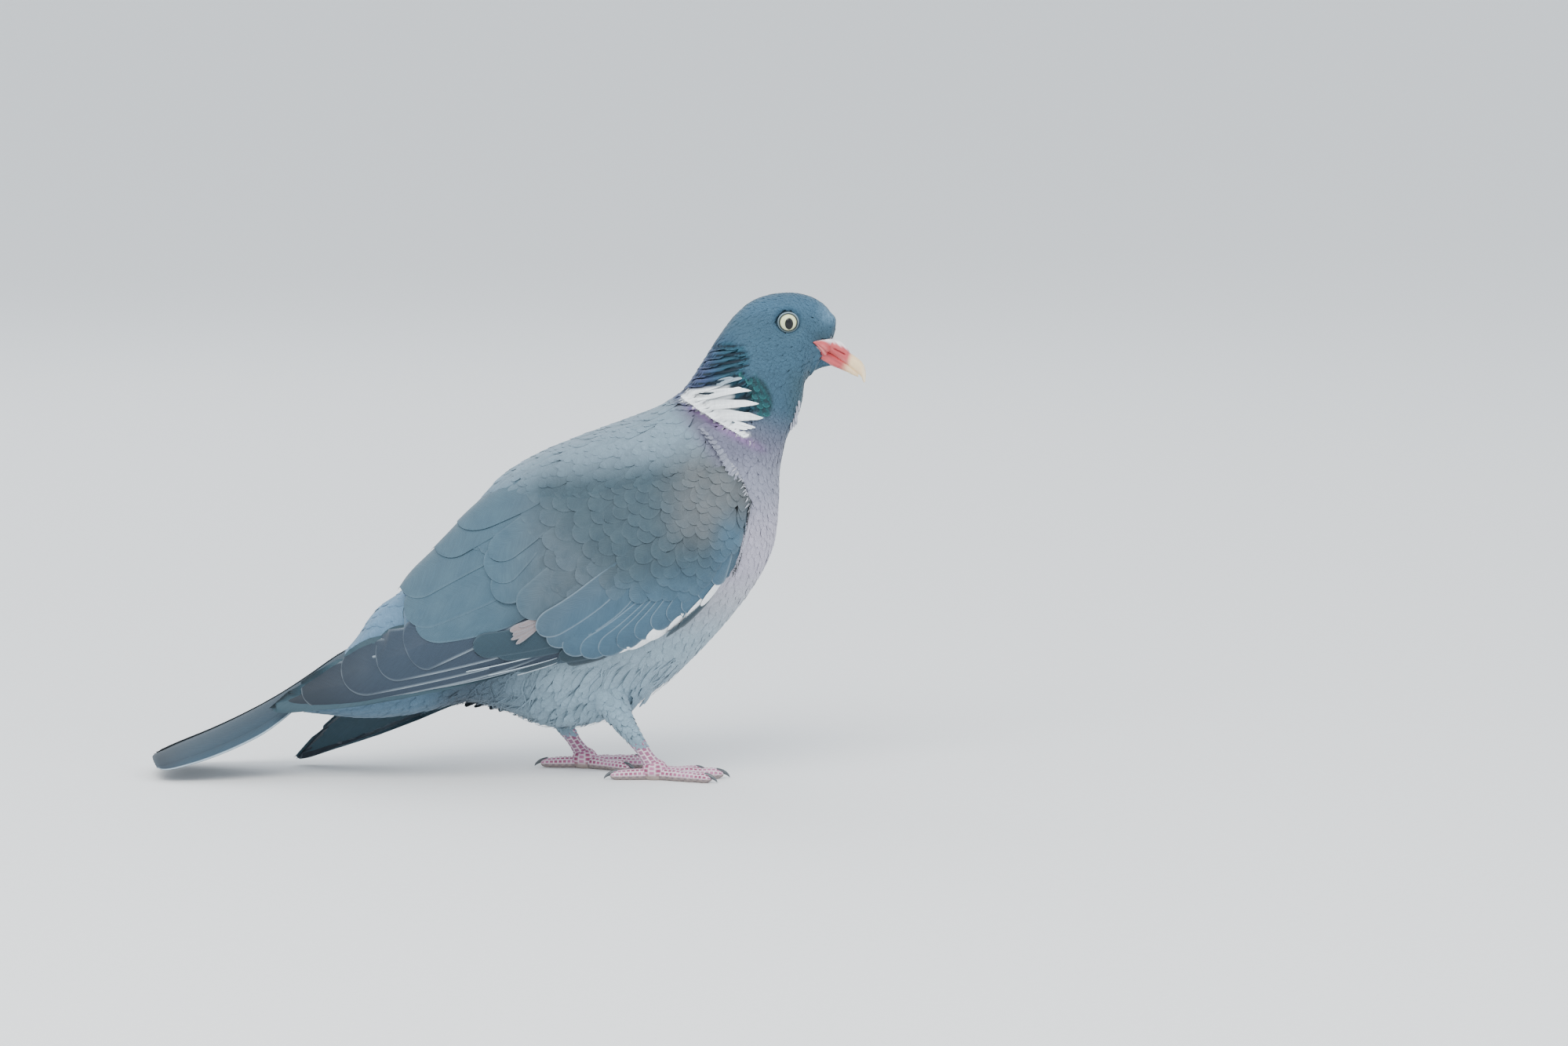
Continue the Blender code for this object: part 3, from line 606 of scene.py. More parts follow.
def vane_triangles(rows, columns):
    """Triangles of one vane, a closed thin shell.

    The upper face is a grid. The underside has three lines of its own points, numbered after the
    grid: left edge, middle, right edge. Its edges lie on the grid's, so the shell has no gap, and
    being separate they shade as an underside. Two fans close the root and the tip.
    """
    top = grid_triangles(rows, columns)[:, ::-1]
    left, middle, right = (rows * (columns + k) + np.arange(rows) for k in range(3))
    under = [np.stack(half, -1) for near, far in ((left, middle), (middle, right))
             for half in ((near[:-1], far[:-1], far[1:]), (near[:-1], far[1:], near[1:]))]
    j, base = np.arange(columns - 1), (rows - 1) * columns
    root = np.stack([np.full_like(j, middle[0]), j, j + 1], -1)
    tip = np.stack([np.full_like(j, middle[-1]), base + j + 1, base + j], -1)
    return np.concatenate([top, *under, root, tip])


def outline(rows, tip):
    """Places along a vane and its half width there: widens from the quill, closes as a half circle.

    The last share, tip, of the length is the rounding; rows crowd there as on a circle.
    """
    straight = max(rows // 2 - 1, 2)
    start = max(1.0 - tip, 0.3)
    turn = np.linspace(0.0, 0.5 * np.pi, rows - straight)
    s = np.concatenate([np.linspace(0.0, start, straight, endpoint=False),
                        start + (1.0 - start) * np.sin(turn)])
    wide = 0.45 + 0.55 * np.sin(0.5 * np.pi * np.clip(s / 0.45, 0.0, 1.0))
    close = np.concatenate([np.ones(straight), np.maximum(np.cos(turn), 0.10)])
    return s, wide * close


class Coat:
    """Gathers vanes of one piece, and makes its mesh with two UV maps and the colours."""

    def __init__(self, seed, thick=0.12):
        self.rng, self.thick = np.random.default_rng(seed), thick
        self.points, self.triangles, self.lies = [], [], []
        self.vane, self.bake, self.colours = [], [], []
        self.count = 0

    def add(self, points, triangles, vane, bake, colours, lies):
        """Stores n vanes of one shape; lies are the directions that their points shade by."""
        n, size = points.shape[:2]
        starts = self.count + np.arange(n) * size
        self.triangles.append((triangles[None] + starts[:, None, None]).reshape(-1, 3))
        self.lies.append(lies[:, triangles].reshape(-1, 3))
        stores = (self.points, self.vane, self.bake, self.colours)
        for store, value in zip(stores, (points, vane, bake, colours)):
            store.append(value.reshape(n * size, -1))
        self.count += n * size

    def lay(self, sheet, a, b, heading, length, width, colour, *, rows=6, columns=5, depth=1.2, proud=0.0,
            camber=0.10, ragged=0.03, tone=0.05, fringe=None, fringe_share=0.0, stray=0.07, root_dark=0.10,
            corner=(0.0, 0.0), span=1.0, relief=0.16, point_share=1.1):
        """Walks each vane down the sheet; height goes from -depth at the root to proud at the tip."""
        n = len(a)
        rng = self.rng
        length, width = np.broadcast_to(length, n), np.broadcast_to(width, n)
        s, reach = outline(rows, float(np.mean(0.5 * point_share * width / length)))
        c = np.linspace(-1.0, 1.0, columns)
        points, lies = np.empty((n, rows, columns, 3)), np.empty((n, rows, columns, 3))
        turn = rng.normal(0.0, stray, n)[:, None]
        lift = rng.normal(0.0, 0.06 * depth, n)
        notch = rng.uniform(-1.0, 1.0, (n, columns)) * ragged
        bake = self.patches(sheet, a, b, s, c, corner, span)
        a, b = a.copy(), b.copy()
        for r in range(rows):
            _, down, across, normal = sheet.read(a, b)
            heading = unit(heading - normal * (heading * normal).sum(-1, keepdims=True))
            beside = np.cross(normal, heading)
            if r == 0:
                heading = unit(heading + beside * turn)
                beside = np.cross(normal, heading)
            da, db = sheet.step(down, across, beside)
            off = 0.5 * width[:, None] * reach[r] * c
            fa, fb = sheet.step(down, across, heading)
            back = length[:, None] * notch * s[r] ** 3 * reach[r]
            spot, _, _, up = sheet.read(a[:, None] + da[:, None] * off + fa[:, None] * back,
                                        b[:, None] + db[:, None] * off + fb[:, None] * back)
            arch = camber * width[:, None] * c ** 2 * reach[r]
            height = (proud + depth) * s[r] - depth + lift[:, None] * s[r] - arch
            points[:, r] = spot + up * height[..., None]
            lean = c[:, None] * beside[:, None] + 0.6 * s[r] ** 4 * heading[:, None]
            lies[:, r] = unit(up + relief * lean)
            if r < rows - 1:
                move = length * (s[r + 1] - s[r])
                a, b = a + fa * move, b + fb * move
        self.finish_vanes(points, lies, bake, s, reach, c, length, width, colour, tone, root_dark, fringe,
                          fringe_share, 0.9)

    def draw(self, sheet, reference, table, colour, *, tip_fade=0.0, rows=24, depth=1.4, proud=0.3, layer=0.0,
             camber=0.02, fringe=None, fringe_share=0.0, hem=0.7, tone=0.02, root_dark=0.05,
             corner=(0.0, 0.0), span=0.6, relief=0.12, point_share=1.1, columns=13, rise=1.0, ragged=0.0):
        """Vanes placed in the side view: rows of tip x, tip z, root x, root z, bow and width.

        The shaft runs from root to tip, bowed towards the wing's lower edge in the middle; layer
        lets each vane down under the one before it.
        """
        table = np.array(table, float)
        n = len(table)
        tip, root, bow, width = table[:, None, 0:2], table[:, None, 2:4], table[:, 4:5, None], table[:, 5]
        length = np.linalg.norm(tip - root, axis=-1)[:, 0]
        along = (tip - root) / length[:, None, None]
        beside = np.stack([-along[..., 1], along[..., 0]], -1)
        s, reach = outline(rows, float(np.mean(0.5 * point_share * width / length)))
        c = np.sin(0.5 * np.pi * np.linspace(-1.0, 1.0, columns))
        t = s[None, :, None]
        shaft = root + (tip - root) * t + beside * bow * 4.0 * t * (1.0 - t)
        way = unit(along * length[:, None, None] + beside * bow * 4.0 * (1.0 - 2.0 * t))
        side = np.stack([-way[..., 1], way[..., 0]], -1)
        half = 0.5 * width[:, None] * reach
        notch = self.rng.uniform(-1.0, 1.0, (n, 1, columns, 1)) * ragged * length[:, None, None, None]
        notch = notch * (t ** 3 * reach[None, :, None])[..., None]
        flat = shaft[:, :, None] + side[:, :, None] * (half[..., None] * c)[..., None]
        flat = flat + way[:, :, None] * notch
        a, b = reference.find(flat[..., 0], flat[..., 1])
        spot, _, _, up = sheet.read(a, b)
        height = (proud + depth) * s ** rise - depth - layer * np.arange(n)[:, None]
        height = height[..., None] - camber * width[:, None, None] * c ** 2 * reach[None, :, None]
        points = spot + up * height[..., None]
        if (np.cross(np.gradient(points, axis=1), np.gradient(points, axis=2)) * up).sum(-1).mean() < 0.0:
            points, up = points[:, :, ::-1], up[:, :, ::-1]
        over = unit(np.gradient(points, axis=2))
        lies = unit(up + relief * c[:, None] * over)
        bake = self.patches(sheet, a[:, 0, columns // 2], b[:, 0, columns // 2], s, c, corner, span)
        self.finish_vanes(points, lies, bake, s, reach, c, length, width, colour, tone, root_dark, fringe,
                          fringe_share, hem, tip_fade)

    def patches(self, sheet, a, b, s, c, corner, span, size=0.003):
        """A small map patch for each vane, at its root's place on the sheet's own map."""
        rows, columns = sheet.table.shape[:2]
        place = np.stack([np.clip(a / rows, 0.0, 1.0), np.mod(b, columns) / columns], -1)
        local = np.stack(np.broadcast_arrays(0.5 * c[None, :], (s - 0.5)[:, None]), -1)
        return (np.array(corner) + span * place)[:, None, None] + size * local

    def finish_vanes(self, points, lies, bake, s, reach, c, length, width, colour, tone, root_dark, fringe,
                     fringe_share, hem, tip_fade=0.0):
        """Colours, barb map and triangles, the same for every way of laying vanes."""
        n, rows, columns = points.shape[:3]
        shade = colour(points) * (1.0 + self.rng.normal(0.0, tone, n))[:, None, None, None]
        # each vane darkens towards its root: partly the feather's own darker base, partly painted shade under
        # the vane that lies over it
        shade = shade * (1.0 - root_dark * (1.0 - s) ** 1.5)[None, :, None, None]
        half = 0.5 * width[:, None] * reach
        if fringe is not None:
            to_tip = (length[:, None] * (1.0 - s))[..., None] + 0.2
            inward = np.minimum(half[..., None] * (1.0 - np.abs(c)), to_tip)
            shown = ease(s, 0.15, 0.35) * (1.0 - tip_fade * ease(s, 0.74, 0.90))
            rim = fade(inward, 0.35 * hem, hem) * shown[None, :, None]
            shade = mix(shade, fringe, rim * np.broadcast_to(fringe_share, n)[:, None, None])
        vane = np.stack(np.broadcast_arrays(half[..., None] * c, (length[:, None] * s)[..., None]), -1)
        lines = (0, columns // 2, columns - 1)
        sunk = points[:, :, lines[1]] - self.thick * lies[:, :, lines[1]]
        edges = (points[:, :, 0], sunk, points[:, :, -1])
        packed = [np.concatenate([points.reshape(n, rows * columns, -1), *edges], 1)]
        for grid, turned in ((vane, 1.0), (bake, 1.0), (shade, 1.0), (lies, -1.0)):
            below = [turned * grid[:, :, line] for line in lines]
            packed.append(np.concatenate([grid.reshape(n, rows * columns, -1), *below], 1))
        self.add(packed[0], vane_triangles(rows, columns), *packed[1:])

    def make(self, name, slot_name, material, *nodes):
        """The gathered vanes as one piece, kept just above the floor."""
        points, triangles, lies, vane, bake, colours = (np.concatenate(store) for store in (
            self.points, self.triangles, self.lies, self.vane, self.bake, self.colours))
        points[:, 2] = np.maximum(points[:, 2], 0.2)
        maps = {"vane": vane, "OFBake": bake}
        keep_piece(mesh_object(name, points, triangles, material, maps, colours, lies), slot_name, *nodes)


# %% [markdown]
# ## What the surfaces are made of
# Feathers are keratin: matt, with fine ridges where the barbs lie side by side at a slant to the
# shaft. Barbs on a pigeon are about 0.35 mm apart; here the ridges are drawn 0.8 mm apart so
# that they still show at arm's length. The pattern reads each vane's own map, in millimetres.


# %% Plumage material
def ridge_nodes(tree, spacing, slant):
    """Barb ridges and streaks: a sine of (distance along less slant times distance beside the shaft),
    and a noise stretched the same way and moved with the place in space."""
    vane = add_node(tree, "UVMap", {"uv_map": "vane"})
    split = add_node(tree, "SeparateXYZ", links={"Vector": vane.outputs["UV"]})
    lean = arithmetic(tree, "MULTIPLY", arithmetic(tree, "ABSOLUTE", split.outputs["X"]), slant)
    line = arithmetic(tree, "SUBTRACT", split.outputs["Y"], lean)
    wave = arithmetic(tree, "SINE", arithmetic(tree, "MULTIPLY", line, 2 * math.pi / spacing))
    place = add_node(tree, "CombineXYZ", links={"X": line, "Y": lean})
    squeeze = add_node(tree, "Mapping", {"Scale": (1.0, 0.12, 1.0)}, {"Vector": place.outputs[0]})
    object_place = add_node(tree, "TexCoord")
    where = add_node(tree, "VectorMath", {"operation": "SCALE", "Scale": 90.0},
                     {0: object_place.outputs["Object"]})
    moved = add_node(tree, "VectorMath", {"operation": "ADD"},
                     {0: squeeze.outputs[0], 1: where.outputs[0]})
    streak = add_node(tree, "TexNoise", {"Scale": 1.1, "Detail": 3.0, "Roughness": 0.6},
                      {"Vector": moved.outputs[0]})
    return wave, streak.outputs["Fac"]


def surface(tree, grain, low, high, height, bump, settings):
    """The usual ending of a material: the colour of the points lightened and darkened by a grain that
    runs from low to high, a bump from a height, and the shader."""
    marks = add_node(tree, "Attribute", {"attribute_name": "plumage"})
    tone = add_node(tree, "MapRange", {"From Min": low[0], "From Max": high[0],
                    "To Min": low[1], "To Max": high[1]}, {"Value": grain})
    colour = add_node(tree, "HueSaturation",
                      links={"Value": tone.outputs[0], "Color": marks.outputs["Color"]})
    raised = add_node(tree, "Bump", bump, {"Height": height})
    shader = add_node(tree, "BsdfPrincipled", settings,
                      {"Base Color": colour.outputs[0], "Normal": raised.outputs[0]})
    add_node(tree, "OutputMaterial", links={"Surface": shader.outputs[0]})


def plumage_material(name, slant, contrast, roughness=0.72, sheen=0.12, spacing=0.8):
    """Keratin barbs over pigment: colour from the markings, streaked and ridged along the barbs."""
    made, tree = new_material(name)
    wave, streak = ridge_nodes(tree, spacing, slant)
    surface(tree, streak, (0.25, 1.0 - contrast / 2), (0.75, 1.0 + contrast / 2),
            arithmetic(tree, "MULTIPLY_ADD", wave, 0.35, streak), {"Strength": 0.7, "Distance": 0.12 * MM},
            {"Roughness": roughness, "Specular IOR Level": 0.35, "Sheen Weight": sheen,
             "Sheen Roughness": 0.5})
    return made


down_finish = plumage_material("soft_body_plumage", slant=0.5, contrast=0.26)
covert_finish = plumage_material("wing_covert_keratin", slant=1.1, contrast=0.20, roughness=0.66)
quill_finish = plumage_material("flight_feather_keratin", slant=1.5, contrast=0.22, roughness=0.56,
                                sheen=0.05)
print("plumage finishes:", down_finish.name, covert_finish.name, quill_finish.name)

# %% [markdown]
# ## The skin
# Under the coat lies one closed skin: body, folded wings and thighs as a single surface, which
# sits deeper than the roots of the feathers. The lofts are made a little smaller, put together,
# and joined by a voxel remesh, which turns overlapping closed shells into one.


# %% One closed skin
SKIN_DEPTH = 1.5      # mm under the feathers' faces
WING_DEPTH = 1.9      # the same on the wing; it grows by 1.2 towards the quills
THIGH = np.array(((44, 50, 11, 9.5), (49, 37, 8.8, 8), (53.4, 28.5, 6.3, 5.8),
                  (57.6, 22.5, 5, 4.5), (61, 17.8, 4.1, 3.6)))
FOOT_Y = 18.0             # mm from the middle to each foot
LEFT_STEP_BACK = 34.0     # the left foot stands this far behind the right one


def leg_rings(rows, sides, y, back, tilt=0.30):
    """Oval sections down a leg, each tipped a little: x, z, half depth and half width."""
    angle = circle(sides)
    x = rows[:, :1] - back + 0.95 * rows[:, 2:3] * np.cos(angle)
    z = rows[:, 1:2] + rows[:, 2:3] * np.cos(angle) * tilt
    return np.stack([x, y + rows[:, 3:4] * np.sin(angle), z], -1)


CHIN = np.array(((155, 193.9, 154.6, 193.1, 0.7), (152.5, 195.4, 151.8, 192.5, 2.3),
                 (149.5, 197.2, 148.4, 191.9, 3.6), (146, 199, 144.6, 190.4, 4.8),
                 (142.5, 200.5, 140.5, 188, 6.2)))
chin = Sheet(oval_rings(smooth_rows(CHIN, np.linspace(0, 4, 60)), 80, 2.1), None, closed=True)
legs = {"right": (-FOOT_Y, 0.0), "left": (FOOT_Y, LEFT_STEP_BACK)}
thighs = {hand: Sheet(leg_rings(smooth_rows(THIGH, np.linspace(0, 4, 60)), 72, *place), None, closed=True)
          for hand, place in legs.items()}


def inner_shell(sheet, depth):
    """A closed tube that lies a depth under a closed sheet."""
    grid = sheet.table[:, :-1]
    return tube_mesh(grid[..., :3] - depth * grid[..., 9:12])


def wing_shell(hand):
    """The wing's core, from wrist to quills: the outer face sunk by the coat, the inner face a little."""
    kept_rows, columns = np.arange(4, 196, 3), slice(5, -5, 2)
    outer, inner = (wings[hand, face].table[kept_rows, columns] for face in ("outer", "inner"))
    sink = WING_DEPTH + 1.2 * ease(kept_rows, 60.0, 110.0)[:, None, None]
    top = outer[..., :3] - sink * outer[..., 9:12]
    under = inner[..., :3] + 0.12 * (outer[..., :3] - inner[..., :3])
    return tube_mesh(np.concatenate([top, under[:, ::-1]], axis=1))


shells = [inner_shell(body, SKIN_DEPTH), inner_shell(chin, 0.4), wing_shell("right"), wing_shell("left")]
shells += [inner_shell(thighs[hand], 1.0) for hand in legs]
skin = mesh_object("bird_skin", *together(shells), down_finish)
joiner = skin.modifiers.new("join", "REMESH")
joiner.mode, joiner.voxel_size, joiner.use_smooth_shade = "VOXEL", 1.2 * MM, True
joined = bpy.data.meshes.new_from_object(skin.evaluated_get(bpy.context.evaluated_depsgraph_get()))
skin.modifiers.clear()
skin.data = joined
points = np.empty(len(joined.vertices) * 3)
joined.vertices.foreach_get("co", points)
points = points.reshape(-1, 3) / MM
on_wing = np.abs(points[:, 1:2]) > 30.0
skin_colour = np.where(on_wing, wing_colour(points[:, 0], points[:, 2]), body_colour(points))
set_colours(joined, 0.75 * skin_colour)      # darker than the feathers, as it lies in their shade
joined.uv_layers.new(name="vane")
keep_piece(skin, "breast_feathers", "head", "neck", "trunk", "rump", "wing_left", "wing_right", "thigh_left",
           "thigh_right")

# %% [markdown]
# ## Feathers of the body
# Feather sizes on the real bird run from about 2 mm on the face to 15 mm on the belly. Each
# region is its own piece, cut where a feather's root lies. Feathers near the eye part around it,
# as a stream parts around a stone, and the nape's lie along their lanes.


# %% Sizes and lie on the body
def body_spacing(p):
    """Gap between roots: small on the face, larger down the breast, largest on belly and back."""
    x, z = p[..., 0], p[..., 2]
    ring = np.hypot(x - EYE[0], z - EYE[2])
    head = 0.66 + 0.36 * ease(ring, 6.0, 24.0)
    back = ease(z - 0.72 * x, 56.0, 72.0) * ease(z, 60.0, 90.0) * fade(x, 88.0, 100.0)
    return head + 0.75 * fade(z, 140.0, 178.0) + 0.85 * fade(z, 70.0, 130.0) + 1.5 * back


def around_eye(point, heading):
    """Turns the lie so that it runs round the eye: its inward part fades near the lids."""
    away = point - EYE
    away[:, 1] = 0.0
    ring = np.linalg.norm(away, axis=-1, keepdims=True)
    away = away / np.maximum(ring, 0.1)
    inward = (heading * away).sum(-1, keepdims=True)
    near = np.clip((6.0 / np.maximum(ring, 0.1)) ** 2, 0.0, 1.0)
    return unit(heading - away * inward * near * (np.abs(point[:, 1:2]) > 6.0) + 1e-6)


def body_heading(a, b):
    """Down the body's rows from bill to tail, round the eyes, and along the neck's lanes."""
    point, down, _, _ = body.read(a, b)
    heading = unit(down)
    lane = lane_share(point)[:, None]
    slope = 0.019 * np.clip(point[:, 0] - LANE_BACK, 0.0, LANE_BEND) * ease(point[:, 2], 172.0, 188.0)
    along = np.stack([np.full(len(a), -1.0), np.zeros(len(a)), -slope], -1)
    return around_eye(point, unit(heading * (1.0 - 0.97 * lane) + unit(along) * 0.97 * lane))


def under_wing(p):
    """True where a folded wing hides the body well inside the wing's edge."""
    x, z = p[..., 0], p[..., 2]
    rows = smooth_rows(WING_SIDE, np.linspace(0, 10, 160))
    middle = 0.5 * (rows[:, 0] + rows[:, 2])
    order = np.argsort(middle)
    top, low = (np.interp(x, middle[order], rows[order, k]) for k in (1, 3))
    return (np.abs(p[..., 1]) > 24.0) & (x > -42.0) & (x < 100.0) & (z < top - 22.0) & (z > low + 11.0)


# name, finish slot, first and last station of the body, and seed of each region
REGIONS = (
    ("head_coat", "head_feathers", 0.10, 7.4, 11), ("neck_coat", "neck_feathers", 7.4, 11.3, 12),
    ("breast_coat", "breast_feathers", 11.3, 13.8, 13), ("belly_coat", "breast_feathers", 13.8, 17.5, 15),
    ("rump_coat", "rump_feathers", 17.5, 23.3, 14))


face, belly = (body_spacing(np.array((x, 0.0, z))) for x, z in ((140.0, 210.0), (40.0, 60.0)))
print("gap between roots on face and belly, mm:", face, belly)

# %% Places and lie of the special feathers
def lane_height(lane, x, rounds=4):
    """Height of a place in the lanes: the rise is read where the lane has risen to, a few times over."""
    z = LANE_ZERO + LANE_GAP * lane
    for _ in range(rounds):
        z = LANE_ZERO + LANE_GAP * lane + lane_rise(x, z)
    return z


def lane_roots(step=1.5):
    """Roots along every lane, three abreast, from the front tip back to the nape, for both sides."""
    lane, x = [grid.ravel() for grid in np.meshgrid(
        np.concatenate([np.arange(-5.0, 5.0) + 0.5 + share for share in (-0.2, 0.0, 0.2)]),
        np.arange(82.0, 121.0, step), indexing="ij")]
    x = x + 0.5 * step * np.sin(lane * 9.0)
    z = lane_height(lane, x)
    row, column = body_side.find(x, z)
    spot = body.read(row, column)[0]
    fit = (np.hypot(spot[:, 0] - x, spot[:, 2] - z) < 0.8) & (lane_share(spot) > 0.35)
    row, column = row[fit], column[fit]
    sides = body.table.shape[1] - 1
    return np.concatenate([row, row]), np.concatenate([column, sides - column])


def loose_down(p, i, j):
    """Where single loose barbs hang: the belly's lower half, between vent and breast."""
    return (p[..., 2] < 58.0) & (p[..., 0] > -20.0) & (p[..., 0] < 84.0)


def over_thigh(p, i, j):
    """The flank above each thigh, on the side where that thigh stands."""
    x = p[..., 0] + LEFT_STEP_BACK * (p[..., 1] > 0.0)
    return (x > 20.0) & (x < 72.0) & (p[..., 2] > 34.0) & (p[..., 2] < 56.0) & (np.abs(p[..., 1]) > 9.0)


def hanging(a, b):
    """Lie of the long down on belly and flank: down and a little back."""
    normal = body.read(a, b)[3]
    way = np.array((-0.5, 0.0, -0.86))
    return unit(way - normal * (way * normal).sum(-1, keepdims=True))


half_ring = body.table[:int(13.0 * per_station), 2:129, :3]
half_side = np.sign(half_ring[:, 60, 1].mean())
body_side = Sheet(half_ring, np.array((0.0, half_side, 0.0)))
mirrored = Sheet(half_ring * np.array((1.0, -1.0, 1.0)), np.array((0.0, -half_side, 0.0)))


def body_of(side):
    """One half of the body as a sheet of its own, or its mirror image."""
    return body_side if side > 0 else mirrored


def fan(tip_x, tip_z, root_x, root_z, spread, count, width):
    """Narrow vanes side by side that make one pointed lane: tip, root, bow, width."""
    share = np.linspace(-1.0, 1.0, count)
    back = 4.0 * np.abs(share) ** 1.5
    return [(tip_x - behind, tip_z + 0.45 * spread * k, root_x, root_z + spread * k, 0.5, width)
            for k, behind in zip(share, back)]


def strokes(start, end, count, length, slant, width):
    """Short narrow vanes in a row from start to end, all at one slant below level."""
    turn = math.radians(slant)
    places = np.linspace(start, end, count)
    ahead = length * (0.8 + 0.3 * np.sin(np.arange(count) * 2.3))
    return [(x, z, x + long * math.cos(turn), z + long * math.sin(turn), 0.2, width)
            for (x, z), long in zip(places.tolist(), ahead.tolist())]


WHITE_LANES = (fan(114.3, 182.6, 92.0, 179.8, 1.5, 7, 1.2) + fan(117.9, 176.2, 95.0, 175.6, 1.7, 7, 1.2)
               + fan(119.9, 169.6, 97.0, 171.4, 2.4, 9, 1.3) + fan(116.4, 165.2, 100.0, 168.2, 1.7, 6, 1.2))
PALE_LANE = fan(110.3, 188.0, 98.0, 184.8, 0.8, 3, 1.5)
WHITE_FRINGE = strokes((82.0, 178.6), (110.5, 161.2), 34, 6.5, 24.0, 1.1)
TEAL_SCALES = ((112.6, 185.4, 116.4, 191, 0, 4.4), (116.6, 182, 119.6, 188, 0, 4.6),
               (119.4, 178.4, 121.8, 184.4, 0, 4.6), (121, 174.4, 123.2, 180.4, 0, 4.6),
               (118.4, 174, 120.6, 179.4, 0, 4.2), (121.4, 170.2, 123.2, 176, 0, 4.2),
               (116, 178.2, 118.4, 183.6, 0, 4), (109.2, 188, 113.6, 193.2, 0, 4.2),
               (118.6, 170, 120.4, 175.4, 0, 4))
THROAT_TUFTS = ((135.8, 172.6, 137, 179.5, 0.4, 1), (134.9, 169.8, 136.2, 176.5, 0.4, 1.2),
                (134.2, 167, 135.8, 173.5, 0.4, 1.4), (133.4, 164.6, 135.4, 170.5, 0.3, 1.6),
                (132, 163.2, 134.6, 168.4, 0.3, 1.5), (134.6, 165.4, 136, 170.8, 0.2, 1.2))


def furrow_lines(width=0.9):
    """Dark vanes as painted shade in the slits between the neck's lanes: from the nape to each lane's tip,
    bowed as the lanes are.
    """
    found = []
    for lane in range(-1, 5):
        ends = (88.0 + 2.2 * max(lane, 0), float(lane_tip(lane + 0.5)) - 1.0)
        x = np.array((ends[0], 0.5 * (ends[0] + ends[1]), ends[1]))
        z = lane_height(lane, x, 6)
        found.append((x[2], z[2], x[0], z[0], z[1] - 0.5 * (z[0] + z[2]), width))
    return found


FRONT_BAND = np.array(((91.4, 166), (99.3, 158.1), (105.5, 150.2), (110.2, 142.4), (112.6, 132.1),
                       (112.2, 121), (110.2, 113.1), (107.1, 106.8)))


def along_edge(line, share):
    """Places at even shares of a line's points in the side view."""
    return (np.interp(share, np.linspace(0.0, 1.0, len(line)), line[:, k]) for k in (0, 1))


def front_band(count=190):
    """Pale breast feathers that close the gap before the wing's front edge, and lie over it."""
    share = np.linspace(0.0, 1.0, count)
    x, z = along_edge(FRONT_BAND, share)
    wave, other = np.sin(np.arange(count) * 2.1), np.sin(np.arange(count) * 5.3 + 1.0)
    reach = 1.0 + 2.0 * ease(share, 0.0, 0.3)
    tip, root = (x - 0.5 * reach + 0.4 * wave, z - 1.9 * reach + 0.6 * other), (
        x + 1.6 + 0.5 * reach + 0.8 * other, z + 0.8 * reach + wave)
    return np.stack([*tip, *root, np.full(count, 0.3), np.full(count, 1.9)], -1)


def band_shade(p):
    """The body's markings, paled."""
    return mix(body_colour(p), SHADES["band"], 0.28)


# vanes, shade, how proud they lie, how pointed they are and how much their cross curve shades
NECK_MARKS = ((furrow_lines(), "furrow", 0.35, 14.0, 0.0), (TEAL_SCALES, "teal", 0.35, 1.2, 0.45),
              (WHITE_FRINGE, "white", 0.5, 3.0, 0.2), (WHITE_LANES, "white", 0.85, 11.0, 0.3),
              (PALE_LANE, "edge", 0.5, 4.0, 0.3))
print("lane roots:", len(lane_roots()[0]), "neck marks:", sum(len(marks[0]) for marks in NECK_MARKS))

